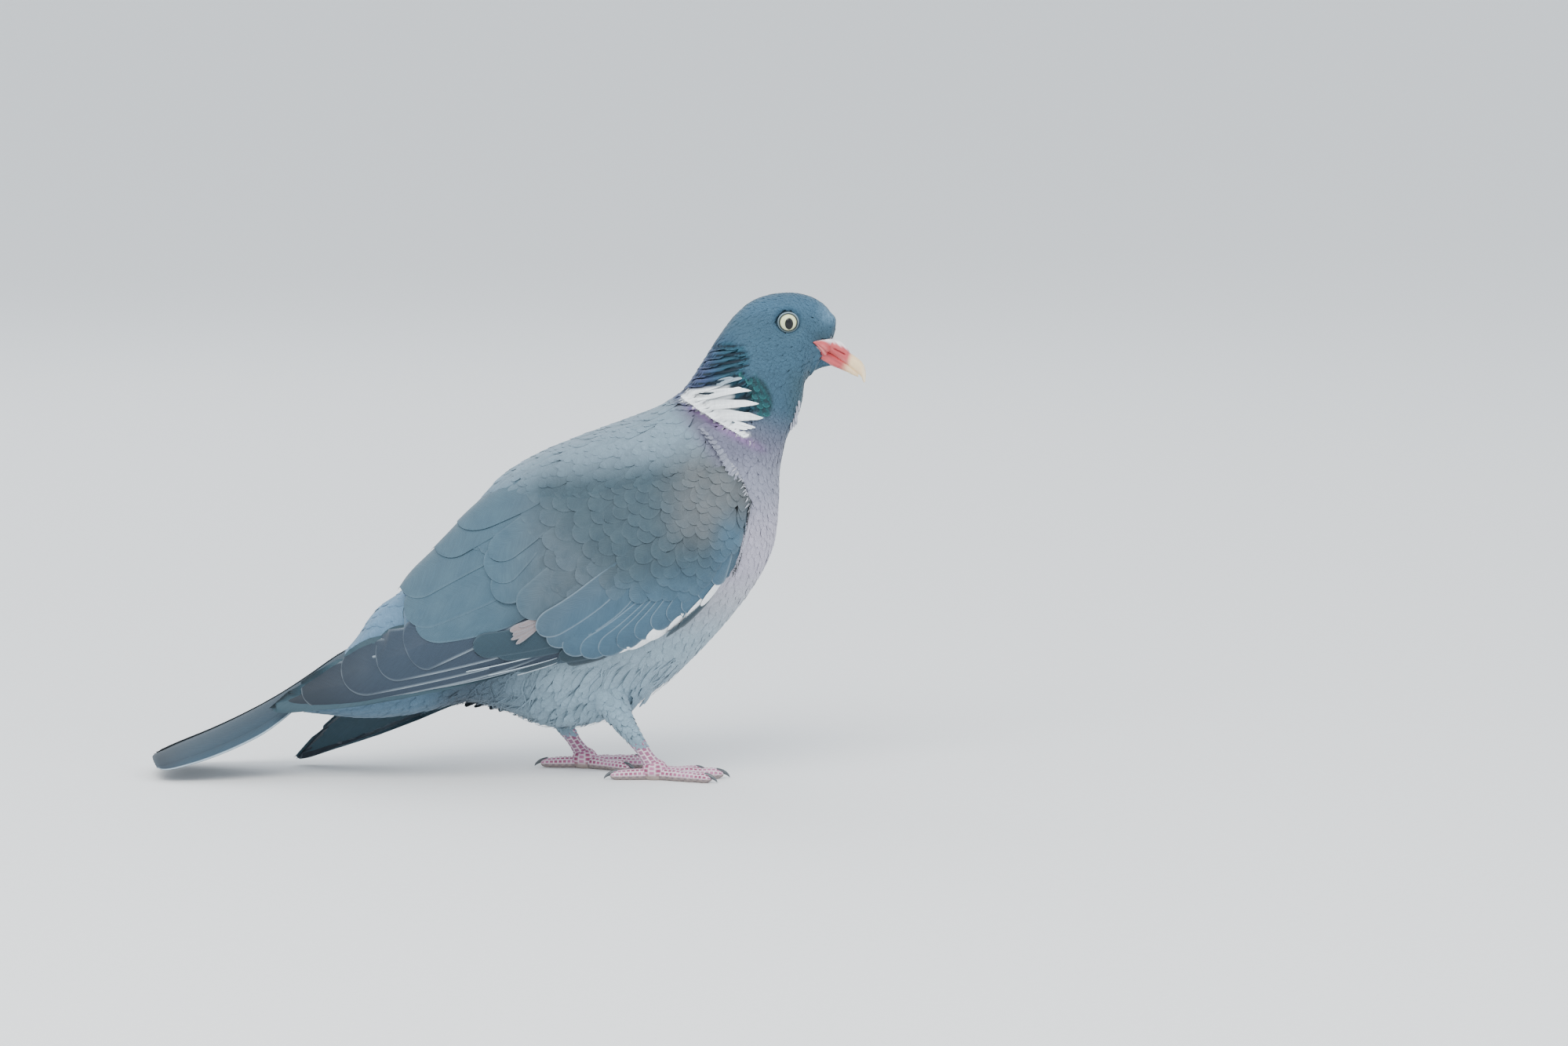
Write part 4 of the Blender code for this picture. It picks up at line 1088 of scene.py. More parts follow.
# %% Lay the body's feathers
for name, slot_name, first, last, seed in REGIONS:
    coat = Coat(seed)

    def keep(p, i, j):
        near_eye = (np.hypot(p[..., 0] - EYE[0], p[..., 2] - EYE[2]) < 5.2) & (np.abs(p[..., 1]) > 6.0)
        inside = (i >= first * per_station) & (i < last * per_station)
        return inside & ~near_eye & ~under_wing(p) & ~bill_gap(p) & (lane_share(p) < 0.6)

    a, b = scatter(body, body_spacing, seed, keep)
    roots = body.read(a, b)[0]
    gap = body_spacing(roots)
    length = gap * 4.1 * (1.0 + 0.25 * coat.rng.random(len(a)))
    width = gap * 1.75 * (1.0 - 0.3 * lane_share(roots))
    # the small feathers have fewer rows and columns than the large ones
    for some, rows, columns, tone, rounding in ((gap < 1.7, 5, 3, 0.05, 2.0), (gap >= 1.7, 7, 5, 0.04, 1.7)):
        if some.any():
            coat.lay(body, a[some], b[some], body_heading(a[some], b[some]), length[some], width[some],
                     body_colour, rows=rows, columns=columns, depth=float(np.mean(0.18 * gap[some] + 0.25)),
                     camber=0.05, ragged=0.06, tone=tone, stray=0.13, relief=0.2, root_dark=0.2,
                     point_share=rounding)
    if name == "belly_coat":
        a, b = scatter(body, even(3.0), 16, loose_down)
        coat.lay(body, a, b, hanging(a, b), 9.5, 0.8, body_colour, columns=3, depth=0.5, proud=0.9,
                 ragged=0.0, tone=0.10, stray=0.40, relief=0.3, point_share=8.0)
        a, b = scatter(body, even(2.6), 17, over_thigh)
        coat.lay(body, a, b, hanging(a, b), 13.0, 3.4, body_colour, rows=8, depth=0.5, proud=2.4,
                 ragged=0.08, stray=0.22, relief=0.2, point_share=2.2)
    if name == "head_coat":
        a, b = scatter(chin, even(0.62), 18, lambda p, i, j: (i > 1) & (p[..., 2] < 196.5))
        coat.lay(chin, a, b, unit(chin.read(a, b)[1]), 2.6, 1.1, body_colour, rows=5, columns=3, depth=0.3,
                 stray=0.13, relief=0.2, point_share=2.0, corner=(0.86, 0.86), span=0.12)
    if name == "neck_coat":
        row, column = lane_roots()
        column = np.where(column > 130, column - 2, column + 2)
        heading = body_heading(row, column)
        coat.lay(body, row, column, heading, 8.5, 1.7, body_colour, rows=7, depth=0.75, proud=0.05,
                 tone=0.07, stray=0.03, root_dark=0.0, point_share=2.5)
        for side in (1.0, -1.0):
            for table, shade, proud, rounding, relief in NECK_MARKS:
                coat.draw(body_of(side), body_of(1.0), table, plain_shade(shade), rows=16, columns=7,
                          depth=0.9, proud=proud, camber=0.10, fringe_share=0.5, hem=0.8, tone=0.06,
                          fringe=SHADES["teal_light"] if table is TEAL_SCALES else None, root_dark=0.25,
                          relief=relief, point_share=rounding, ragged=0.03)
    if name == "breast_coat":
        for side in (1.0, -1.0):
            coat.draw(body_of(side), body_of(1.0), front_band(), band_shade, rows=8, columns=3, depth=0.9,
                      proud=1.7, camber=0.10, tone=0.08, relief=0.2, point_share=5.0, rise=2.0)
        coat.draw(body_of(-1.0), body_of(1.0), THROAT_TUFTS, plain_shade("tuft"), rows=12, columns=5,
                  depth=0.9, proud=1.3, camber=0.10, tone=0.08, relief=0.3, point_share=4.0, ragged=0.03)
    coat.make(name, slot_name, down_finish)

# %% [markdown]
# ## Long feathers
# Flight and tail feathers are blades: long, nearly flat, with a shaft nearer the outer edge and a
# pale hem. Each is a thin closed slab laid on the wing or tail sheet between two edge lines, so
# that a folded stack shows only hems and tips, as on the living bird.


# %% One blade
def blade(coat, sheet, line, edges, height, shade, tip_shade, hem, tile, *, thick=0.28, hem_width=0.06,
          shaft=0.7, point=15.0, rows=30, cup=0.5, tip_hem=0.12):
    """A slab along rows line[0] to line[1]; edges(a) gives its inner and outer lines in columns.

    The half width closes towards the tip like a superellipse. Columns crowd at the outer edge,
    where the hem is. The slab lies at its height above the sheet, less cup at the edges. The tile
    is the blade's own patch of the bake map: corner and size.
    """
    c = np.array((0.0, 0.04, 0.14, 0.32, 0.52, shaft - 0.02, shaft, shaft + 0.02, 0.86, 1.0 - hem_width,
                  1.0 - 0.6 * hem_width, 1.0))
    s = np.linspace(0.0, 1.0, rows) ** 0.85
    a = line[0] + (line[1] - line[0]) * s
    inner, outer = edges(a)
    close = (1.0 - np.clip(s, 0.0, 0.997) ** point) ** (1.0 / 2.2)
    middle = 0.45 * inner + 0.55 * outer
    inner, outer = middle + (inner - middle) * close, middle + (outer - middle) * close
    columns = inner[:, None] + (outer - inner)[:, None] * c
    spot, _, _, up = sheet.read(np.broadcast_to(a[:, None], columns.shape), columns)
    lift = (height - cup * (c - shaft) ** 2 + 0.10 * hill(c, shaft, 0.02))[:, None]
    top, under = spot + up * lift, spot + up * (lift - thick)
    total = len(c)
    points = np.concatenate([top.reshape(-1, 3), under.reshape(-1, 3)])
    upper = grid_triangles(rows, total)[:, ::-1]
    border = np.concatenate([np.arange(total), np.arange(1, rows) * total + total - 1,
                             (rows - 1) * total + np.arange(total - 2, -1, -1),
                             np.arange(rows - 2, 0, -1) * total])
    ahead = np.roll(border, -1)
    count = rows * total
    wall = [np.stack(half, -1) for half in (
        (border, ahead, ahead + count), (border, ahead + count, border + count))]
    triangles = outward(points, np.concatenate([upper, upper[:, ::-1] + count, *wall]))
    across = np.linalg.norm(top[:, -1] - top[:, 0], axis=-1)
    along = np.concatenate([[0.0], np.cumsum(np.linalg.norm(np.diff(top[:, 6], axis=0), axis=-1))])
    vane = np.stack(np.broadcast_arrays((c - shaft)[None] * across[:, None], along[:, None]), -1)
    colour = mix(shade, tip_shade, ease(s, 0.75, 1.0))[:, None]
    pale = ease(c, 1.0 - 0.9 * hem_width, 1.0 - 0.55 * hem_width)[None] * (s > 0.05)[:, None]
    pale = np.maximum(pale, tip_hem * ease(s, 0.975, 0.995)[:, None])
    # darker along the shaft, and painted shade towards the inner edge, which lies under the neighbouring
    # blade
    light = (1.0 - 0.35 * hill(c, shaft, 0.02)) * (0.72 + 0.28 * ease(c, 0.3, 0.95))
    colour = mix(colour, hem, pale) * light[None, :, None]
    local = np.stack(np.broadcast_arrays(c[None] * tile[2], s[:, None] * tile[3]), -1) + tile[:2]
    doubled = [np.concatenate([value.reshape(count, -1), turned * value.reshape(count, -1)])[None]
               for value, turned in ((vane, 1.0), (local, 1.0), (colour, 1.0), (up, -1.0))]
    coat.add(points[None], triangles, *doubled)


# %% [markdown]
# ## The closed wing
# A closed wing is a stack of tracts. Lowest lie the primaries, each a little shorter than the one
# under it, so that only pale outer hems and tips show. Over them come the dark inner flight
# feathers, the long tertials, the greater coverts with pale hems, and then the smaller coverts,
# down to 8 mm at the shoulder. Each long feather is a row of numbers in the side view, in
# millimetres: tip x and z, root x and z, how far its shaft bows downward, and its width.

# %% Long feathers of the closed wing
wing_step = (len(wing_places) - 1) / (len(WING) - 1)      # sheet rows to one station of the wing
wing_columns = len(sheet_run) - 1
PRIMARIES = ((-45.5, 62.5, 14, 92, 0.5, 24), (-60.3, 58.5, 30, 82, 1.5, 24),
             (-76.5, 51.5, 36, 80, 2, 25))
OUTER_PRIMARIES = ((-95.3, 43, 40, 76, 3, 22), (-109.6, 36.8, 40, 68, 1.5, 16))
SECONDARIES = ((-14, 65.5, 42, 76, 1, 12), (-4, 63.5, 46, 73, 1.5, 10))
TERTIALS = ((-34, 109, 30, 146, -1, 20), (-49.6, 90.5, 14, 126, -1, 20),
            (-46.4, 79.5, 16, 109, 1.5, 20), (-41, 74, 22, 93, 4, 16))
SCAPULARS = ((-22, 119.5, 30, 146, 1, 13), (-6, 106.5, 24, 131, 0.5, 13),
             (-6.2, 97.6, 16, 124, 0.5, 18), (-3.6, 88.6, 22, 114, 0.5, 17),
             (8, 82, 34, 106, 1, 17))
GREATER = ((15.8, 74, 60, 108, 3, 13), (20.4, 69, 66, 103, 3.5, 13),
           (27.8, 65, 70, 96, 3, 13), (36, 63, 76, 94, 2.5, 12),
           (44.5, 63.5, 80, 96, 2, 11), (53, 66.5, 82, 97, 1.5, 10.5),
           (61.5, 70.5, 86, 99, 1, 10), (69.5, 74.5, 89, 101, 0.5, 9.5),
           (77, 78, 92, 103, 0.5, 9), (84.5, 81.5, 96, 105, 0, 8.5),
           (92, 87.5, 101, 110, 0, 7.5), (98.5, 94, 106, 115, 0, 7))
HAND_COVERTS = ((25.6, 61, 48, 64, 0, 7.5), (29, 58.2, 52, 63.5, 0.5, 6.5))
WHITE_EDGE = ((50.5, 63.4, 70, 73, 0, 5), (57, 65.2, 77, 76, 0, 6),
              (66, 69.2, 84, 80, 0, 5.6), (76, 73.8, 92, 86, 0, 4),
              (84, 79, 97, 91, 0, 3), (91, 84.6, 103, 98, 0, 2.8))
ALULA = ((74.6, 70.6, 97.5, 87, 1, 4.6), (80.5, 75.6, 98, 89, 0.8, 3.8))
FRONT_EDGE = np.array(((91.5, 167), (103.5, 155.5), (111, 143.5), (114.2, 129), (112.6, 113.5),
                       (105.0, 98.5)))
# painted highlights: thin pale vanes in the hem's shade that stand for sheen along the flight feathers
SHEEN_LINES = ((-17.6, 53.7, 24.7, 63.5, 0.4, 0.55), (-7.3, 51.9, 24.7, 59.6, 0.3, 0.55),
               (6.1, 51.9, 24.7, 57, 0.2, 0.5))
TORN = ((3.4, 73.6, 18, 79, 0, 4), (4.6, 71.6, 17, 78, 0, 2.6),
        (3.8, 69.6, 17.5, 77, 0.3, 2.2), (6, 67.6, 17, 76, 0, 2.2), (7.6, 75.8, 18, 80, 0, 2.4))


def front_down(count=90, length=4.2, width=0.75):
    """Pale breast down that lies over the wing's front edge: along the edge, pointing back."""
    share = np.linspace(0.0, 1.0, count)
    x, z = along_edge(FRONT_EDGE, share)
    turn = np.radians(20.0 + 55.0 * share + 9.0 * np.sin(np.arange(count) * 2.4))
    long = length * (0.8 + 0.35 * np.sin(np.arange(count) * 1.7))
    root_x = x + 1.5
    return np.stack([root_x - long * np.cos(turn), z - long * np.sin(turn), root_x, z,
                     np.full(count, 0.3), np.full(count, width)], -1)


def covert_gap(p):
    """Gap between covert roots: 3 mm at the shoulder, growing back and down the wing."""
    reach = np.hypot(112.0 - p[..., 0], 0.8 * (150.0 - p[..., 2]))
    return 3.0 + 3.2 * ease(reach, 10.0, 105.0)


def wing_heading(p):
    """Lie on the closed wing: back along the shoulder, steeper down towards the front edge."""
    x, z = p[:, 0], p[:, 2]
    turn = np.radians(34.0 + 44.0 * ease(x, 42.0, 92.0) * (1.0 - 0.7 * ease(z, 112.0, 156.0)))
    return np.stack([-np.cos(turn), np.zeros(len(x)), -np.sin(turn)], -1)


def side_view(hand, points):
    """Places of the left wing carried back to the right wing's rest, where markings are known."""
    if hand == "right":
        return points
    hang = droop(points[..., 0] - LEFT_FORWARD * droop(points[..., 0]))
    return points + hang[..., None] * np.array((-LEFT_FORWARD, 0.0, LEFT_DROOP))


def wing_shade(hand, name="greater", share=0.0):
    """The wing's markings for one hand, pulled by a share towards one shade."""
    def read(p):
        q = side_view(hand, p)
        return mix(wing_colour(q[..., 0], q[..., 2]), SHADES[name], share)
    return read


def flight_shade(hand):
    """Dark primaries: browner and darker towards the tip of the wing."""
    def read(p):
        return mix(SHADES["flight"], SHADES["flight_tip"], fade(side_view(hand, p)[..., 0], -100.0, -40.0))
    return read


# under_wing is the wing's underside: its own grey, made darker as painted shade, since the body shades it
under_shade = plain_shade("under_wing")
# lower edge of the small coverts in the side view, x and then z: below it lie only long feathers
COVERT_EDGE = ((-30, -12, 0, 12, 40, 60, 90, 104, 113),
               (134, 131, 124, 104, 95, 97, 101, 112, 124))
print("long feathers of a wing:", sum(len(table) for table in (
    PRIMARIES, OUTER_PRIMARIES, SECONDARIES, TERTIALS, SCAPULARS, GREATER, HAND_COVERTS, WHITE_EDGE, ALULA)))

# %% Lay both wings
for hand in ("right", "left"):
    sheet, reference, lining = wings[hand, "outer"], wings["right", "outer"], wings[hand, "inner"]
    coat = Coat(31, 0.25)
    for table, proud, share, rounding in ((PRIMARIES, -0.2, (0.40, 0.50, 0.55), 0.75),
                                          (OUTER_PRIMARIES, -1.2, (0.60, 0.60), 1.5)):
        coat.draw(sheet, reference, table, flight_shade(hand), rows=40, depth=1.5, proud=proud, layer=0.33,
                  camber=0.004, fringe=SHADES["hem"], fringe_share=share, hem=0.9, rise=0.4, span=0.95,
                  relief=0.05, point_share=rounding, columns=21, tip_fade=0.72)
    for table in (PRIMARIES, OUTER_PRIMARIES):
        coat.draw(lining, reference, table, under_shade, rows=30, depth=0.4, proud=-0.1, layer=0.1,
                  camber=0.004, rise=0.4, span=0.95, relief=0.05, point_share=1.0)
    coat.make("primaries_" + hand + "_vanes", "flight_feathers", quill_finish, "primaries_" + hand)

    # vanes, colour, how proud, how much each lies under the one before, and how pale the fringe is;
    # only the right wing has torn feathers
    coat = Coat(41, 0.2)
    stout = ((SECONDARIES, plain_shade("secondary"), 0.05, 0.18, 0.06),
             (HAND_COVERTS, plain_shade("alula"), 0.1, 0.2, 0.1),
             (TERTIALS, wing_shade(hand), 0.75, 0.18, (0.0, 0.05, 0.06, 0.08)),
             (GREATER, wing_shade(hand, "greater", 0.30), 1.3, 0.12, 0.34))
    slim = ((ALULA, plain_shade("alula"), 1.7, 0.1, 0.1), (WHITE_EDGE, plain_shade("white"), 0.6, 0.0, 0.0))
    tufts = ((TORN, plain_shade("torn"), 1.3, 0.02, 0.2),) if hand == "right" else ()
    # the sheen lines are painted highlights
    lines = ((SHEEN_LINES, plain_shade("hem"), 0.15, 0.0, 0.0),)
    shoulder = ((SCAPULARS, wing_shade(hand), 1.15, 0.08, (0.0, 0.05, 0.06, 0.08, 0.08)),)
    for groups, rounding, ragged in ((stout, 1.25, 0.012), (slim, 3.2, 0.012), (shoulder, 1.25, 0.012),
                                     (tufts, 3.2, 0.03), (lines, 3.2, 0.012)):
        for table, shade_of, proud, layer, share in groups:
            coat.draw(sheet, reference, table, shade_of, proud=proud, layer=layer, fringe=SHADES["edge"],
                      fringe_share=share, rise=0.6, depth=1.2, ragged=ragged, camber=0.004,
                      point_share=rounding)

    def keep(p, i, j):
        q = side_view(hand, p)
        return (q[..., 2] > np.interp(q[..., 0], *COVERT_EDGE)) & (i > 1) & (j < wing_columns - 2)

    a, b = scatter(sheet, lambda p: covert_gap(side_view(hand, p)), 42, keep)
    roots = side_view(hand, sheet.read(a, b)[0])
    gap = covert_gap(roots)
    for some, proud in ((gap < 4.4, 0.25), (gap >= 4.4, 0.35)):
        coat.lay(sheet, a[some], b[some], wing_heading(roots[some]), gap[some] * 3.5, gap[some] * 2.3,
                 wing_shade(hand), rows=10, columns=7, depth=0.75, proud=proud, camber=0.03, ragged=0.07,
                 tone=0.055, stray=0.12, root_dark=0.30, fringe=SHADES["edge"], fringe_share=0.045, span=0.6)
    coat.draw(sheet, reference, front_down(), plain_shade("pale_breast"), rows=7, columns=3, depth=0.6,
              proud=0.55, camber=0.05, point_share=5.0, tone=0.06, relief=0.2)
    a, b = scatter(lining, even(6.5), 43, lambda p, i, j: (i > 6.2 * wing_step) & (i < 8.6 * wing_step)
                   & (j > 14) & (j < wing_columns - 34))
    coat.lay(lining, a, b, wing_heading(lining.read(a, b)[0]), 11.0, 10.0, under_shade, depth=0.9,
             proud=0.2, camber=0.04, corner=(0.64, 0.02), span=0.3)
    coat.make("wing_" + hand + "_coverts", "wing_feathers", covert_finish)

# %% [markdown]
# ## Tail
# Twelve tail feathers close into a shallow roof. The middle pair lies on top; each pair outside
# it lies a little lower and shows a narrow strip. The end is darker than the rest.

# %% Tail feathers
tail_rows, tail_columns = 170, 121
tail_line = smooth_rows(TAIL, np.linspace(0, len(TAIL) - 1, tail_rows))
roof = np.linspace(-1.0, 1.0, tail_columns)[None, :]
tail_grid = np.stack([tail_line[:, :1] + tail_line[:, 5:6] * roof ** 2, tail_line[:, 2:3] * roof,
                      tail_line[:, 1:2] - tail_line[:, 3:4] * roof ** 2], -1)
tail = Sheet(tail_grid, np.array((0.0, 0.0, -1.0)))
tail_middle = 0.5 * (tail_columns - 1)
coat = Coat(51)
TAIL_EDGES = (0.26, 0.45, 0.62, 0.77, 0.90, 1.0)      # outer edge of each pair, as a share of the half tail
FEATHER_WIDTH = 0.62                                  # in the same shares
for k, edge in enumerate(TAIL_EDGES):
    for side in (-1.0, 1.0):
        def edges(a):
            reach = edge * (0.75 + 0.25 * ease(a, 0.0, 0.5 * tail_rows))
            return (tail_middle * (1.0 + side * (reach - FEATHER_WIDTH)), tail_middle * (1.0 + side * reach))

        left = side > 0         # of a pair, the left feather lies a little below the right one
        blade(coat, tail, (0.12 * tail_rows, (0.992 - 0.004 * k) * (tail_rows - 1)), edges,
              -0.38 * k - 0.1 * left, SHADES["tail"], SHADES["tail_end"], SHADES["edge"],
              (0.02 + 0.16 * k, 0.02 + 0.49 * left, 0.13, 0.45))
coat.make("tail_vanes", "tail_feathers", quill_finish, "tail")

# %% [markdown]
# ## Thigh feathering
# The feathered thighs narrow to the bare shank. Their feathers are short, point down the leg and
# end in a loose ring above the scales.

# %% Thigh feathers
def thigh_gap(p):
    """Gap between roots, in mm: it grows up the leg."""
    return 1.7 + 1.2 * ease(p[..., 2], 20.0, 42.0)


coat = Coat(61)
for hand, corner in (("right", (0.0, 0.0)), ("left", (0.5, 0.5))):
    sheet = thighs[hand]
    a, b = scatter(sheet, thigh_gap, 62, lambda p, i, j: (i > 2) & (p[..., 2] < 47.0))
    roots, down, _, _ = sheet.read(a, b)
    gap = thigh_gap(roots)
    coat.lay(sheet, a, b, unit(down), gap * 2.7, gap * 1.5, body_colour, rows=5, depth=0.9, proud=0.1,
             camber=0.05, ragged=0.06, stray=0.12, tone=0.04, corner=corner, span=0.48)
coat.make("thigh_feathers", "belly_feathers", down_finish)

# %% [markdown]
# ## Bill
# A pigeon's bill has a soft cere, swollen and dusted white over slit nostrils, a pink root, and a
# hard cream tip that hooks a little over the lower half. Both halves are lofts between an upper
# and a lower line. The cere swells out of the loft and the nostril is pressed into it.

# %% Bill lofts and their colours
UPPER_BILL = np.array(((147, 207.4, 138, 204, 5.4), (154, 205, 146.5, 200.7, 5.4),
                       (156.8, 203.5, 150.5, 198.7, 4.8), (159, 200.9, 154, 196.6, 4.1),
                       (161, 198.4, 157, 194.4, 3.3), (164, 196.2, 160, 192.2, 2.9),
                       (166.3, 194.2, 162.4, 190.3, 2.6), (167.6, 191.7, 164.4, 188.9, 2.1),
                       (168.1, 188.7, 165.8, 187.4, 1.4), (167.8, 184.8, 166.9, 184.8, 0.6)))
LOWER_BILL = np.array(((139, 204, 137, 199, 5), (146.3, 200.5, 144.8, 196, 5),
                       (150.2, 198.3, 149, 193.8, 4.3), (153.8, 196.2, 152.8, 192.2, 3.4),
                       (157, 194, 156.4, 190.8, 2.9), (160, 191.8, 159.6, 189.4, 2.4),
                       (162.4, 189.9, 162.2, 188.1, 1.8), (164.6, 188.2, 164.5, 187.2, 1)))
LIP_OVERLAP = 1.3      # the lower half reaches this far up inside the upper one, so the bill is shut
HORN = palette(powder="#f6edf2", rose="#c24f52", deep="#8f2b31", cream="#efd2a6", pale="#f3e2c6",
               pink="#cb7c79")


def along_line(points, start, end):
    """Share along a straight line in the side view, and distance beside it (upwards positive)."""
    start, end = np.array(start), np.array(end)
    way = end - start
    size = np.hypot(*way)
    offset = points[..., [0, 2]] - start
    return offset @ way / size ** 2, (offset[..., 1] * way[0] - offset[..., 0] * way[1]) / size


def painted(name, parts, material, slot_name, *nodes):
    """A piece of closed lofts: each part is its rings and the colour of each point on them."""
    points, triangles = together([tube_mesh(rings) for rings, _ in parts])
    colours = np.concatenate([colour for _, shades in parts for colour in (
        shades.reshape(-1, 3), shades[:1].mean(axis=1), shades[-1:].mean(axis=1))])
    keep_piece(mesh_object(name, points, triangles, material, None, colours), slot_name, *nodes)


def bare_material(name, roughness, grain_mm, bump_mm, coat=0.0, weight=0.0, contrast=0.12):
    """Bare living surface: colour from its points, broken by a fine grain, with a low bump."""
    made, tree = new_material(name)
    where = add_node(tree, "TexCoord")
    noise = add_node(tree, "TexNoise", {"Scale": 1000.0 / grain_mm, "Detail": 4.0,
                     "Roughness": 0.6}, {"Vector": where.outputs["Object"]}).outputs["Fac"]
    surface(tree, noise, (0.0, 1.0 - contrast), (1.0, 1.0 + contrast), noise,
            {"Strength": 0.5, "Distance": bump_mm * MM},
            {"Roughness": roughness, "Coat Weight": coat, "Subsurface Weight": weight,
             "Subsurface Radius": (0.002, 0.001, 0.0007), "Subsurface Scale": 1.0})
    return made


horn = bare_material("bill_keratin_and_cere", 0.42, 1.6, 0.05, coat=0.10, weight=0.10)
rows = smooth_rows(UPPER_BILL, np.linspace(0, len(UPPER_BILL) - 1, 150))
rings = oval_rings(rows, 120, 2.3)
normal = tube_normals(rings)
share, beside = along_line(rings, (151.8, 201.6), (158.8, 197.8))
swell = 0.60 * np.exp(-((share - 0.45) / 0.55) ** 2 - ((beside - 1.6) / 1.5) ** 2)
slit = 0.75 * np.exp(-(beside / 0.30) ** 2) * ease(share, 0.0, 0.3) * fade(share, 0.85, 1.05)
fold = 0.25 * hill(share, 1.16, 0.10) * (beside > -1.5)
rings = rings + normal * (swell - slit - fold)[..., None]
to_tip = ease(rings[..., 0] - 0.33 * (rings[..., 2] - 195.0), 158.4, 161.6)
grain = 0.5 * np.sin(3.1 * rings[..., 0] + 2.0 * rings[..., 2])
shades = mix(HORN["rose"], HORN["powder"], ease(beside + 0.5 * grain, 1.7, 3.3) * (1.0 - 0.3 * to_tip))
shades = mix(shades, HORN["cream"], to_tip)
shades = mix(shades, HORN["pale"], ease(rings[..., 0], 165.5, 168.0) * 0.8)
shades = mix(shades, HORN["deep"], np.clip(slit * 1.6, 0.0, 1.0))
shades = mix(shades, HORN["pink"], fade(beside, -3.0, -1.4) * (1.0 - to_tip) * 0.6)
painted("bill_upper_half", [(rings, shades)], horn, "bill_horn", "bill_upper")

rows = smooth_rows(LOWER_BILL, np.linspace(0, len(LOWER_BILL) - 1, 110))
rows[:, 1] += LIP_OVERLAP
rings = oval_rings(rows, 100, 2.3)
_, lip = along_line(rings, (144.8, 200.6), (164.6, 188.0))
to_tip = ease(rings[..., 0] - 0.33 * (rings[..., 2] - 195.0), 156.5, 162.0)
shades = mix(HORN["rose"], HORN["deep"], 0.7 * hill(lip, 0.4, 0.6))
shades = mix(shades, HORN["pink"], fade(lip, -3.2, -1.6))
shades = mix(shades, HORN["cream"] * 0.92, to_tip)
painted("bill_lower_half", [(rings, shades)], horn, "bill_red", "bill_lower")


# %% Bare skin of the cere's root and the gape
def bare_patch(rows=90, columns=60):
    """A thin shell on the head's side, between the two feather lines, with two long folds.

    Height and colour come from v, the share from the upper line (0) to the lower one (1): white
    skin above, then a red fold, a dark crease and a second, pinker fold along the lower line.
    """
    u, v = np.linspace(0.0, 1.0, rows)[:, None], np.linspace(0.0, 1.0, columns)[None, :]
    x, z = ((1.0 - v) * top + v * low for top, low in zip(along_edge(CERE_TOP, u), along_edge(CERE_LOW, u)))
    spot, _, _, up = body_side.read(*body_side.find(x, z))
    upper_fold, lower_fold = hill(v, 0.62, 0.10), hill(v, 0.86, 0.08)
    rim = ease(v, 0.0, 0.08) * fade(v, 0.94, 1.0) * ease(u, 0.0, 0.10)
    height = -0.7 + rim * (1.0 + 0.35 * upper_fold + 0.35 * lower_fold + 0.15 * np.sin(np.pi * v))
    top, under = spot + up * height[..., None], spot - up * 1.6
    shades = mix(HORN["powder"], HORN["rose"], ease(v + 0.35 * (1.0 - u), 0.14, 0.44))
    shades = mix(shades, HORN["deep"], hill(v, 0.74, 0.045))
    shades = mix(shades, HORN["pink"], 0.7 * lower_fold + 0.3 * upper_fold)
    return np.concatenate([top, under[:, ::-1]], axis=1), np.concatenate([shades, shades[:, ::-1]], axis=1)


rings, shades = bare_patch()
facing = np.sign(rings[..., 1].mean())
for hand, side in (("left", 1.0), ("right", -1.0)):
    painted("gape_skin_" + hand, [(rings * np.array((1.0, side * facing, 1.0)), shades)], horn, "bill_red")

# %% [markdown]
# ## Eyes
# The iris is pale straw yellow with a tall dark pupil, under a wet clear cornea. A ring of bare
# lid skin holds it, grey with a painted highlight along its upper rim and painted shade at its foot,
# with a dark inner edge. The iris pattern reads Object coordinates, centred on each eye by a Mapping node.

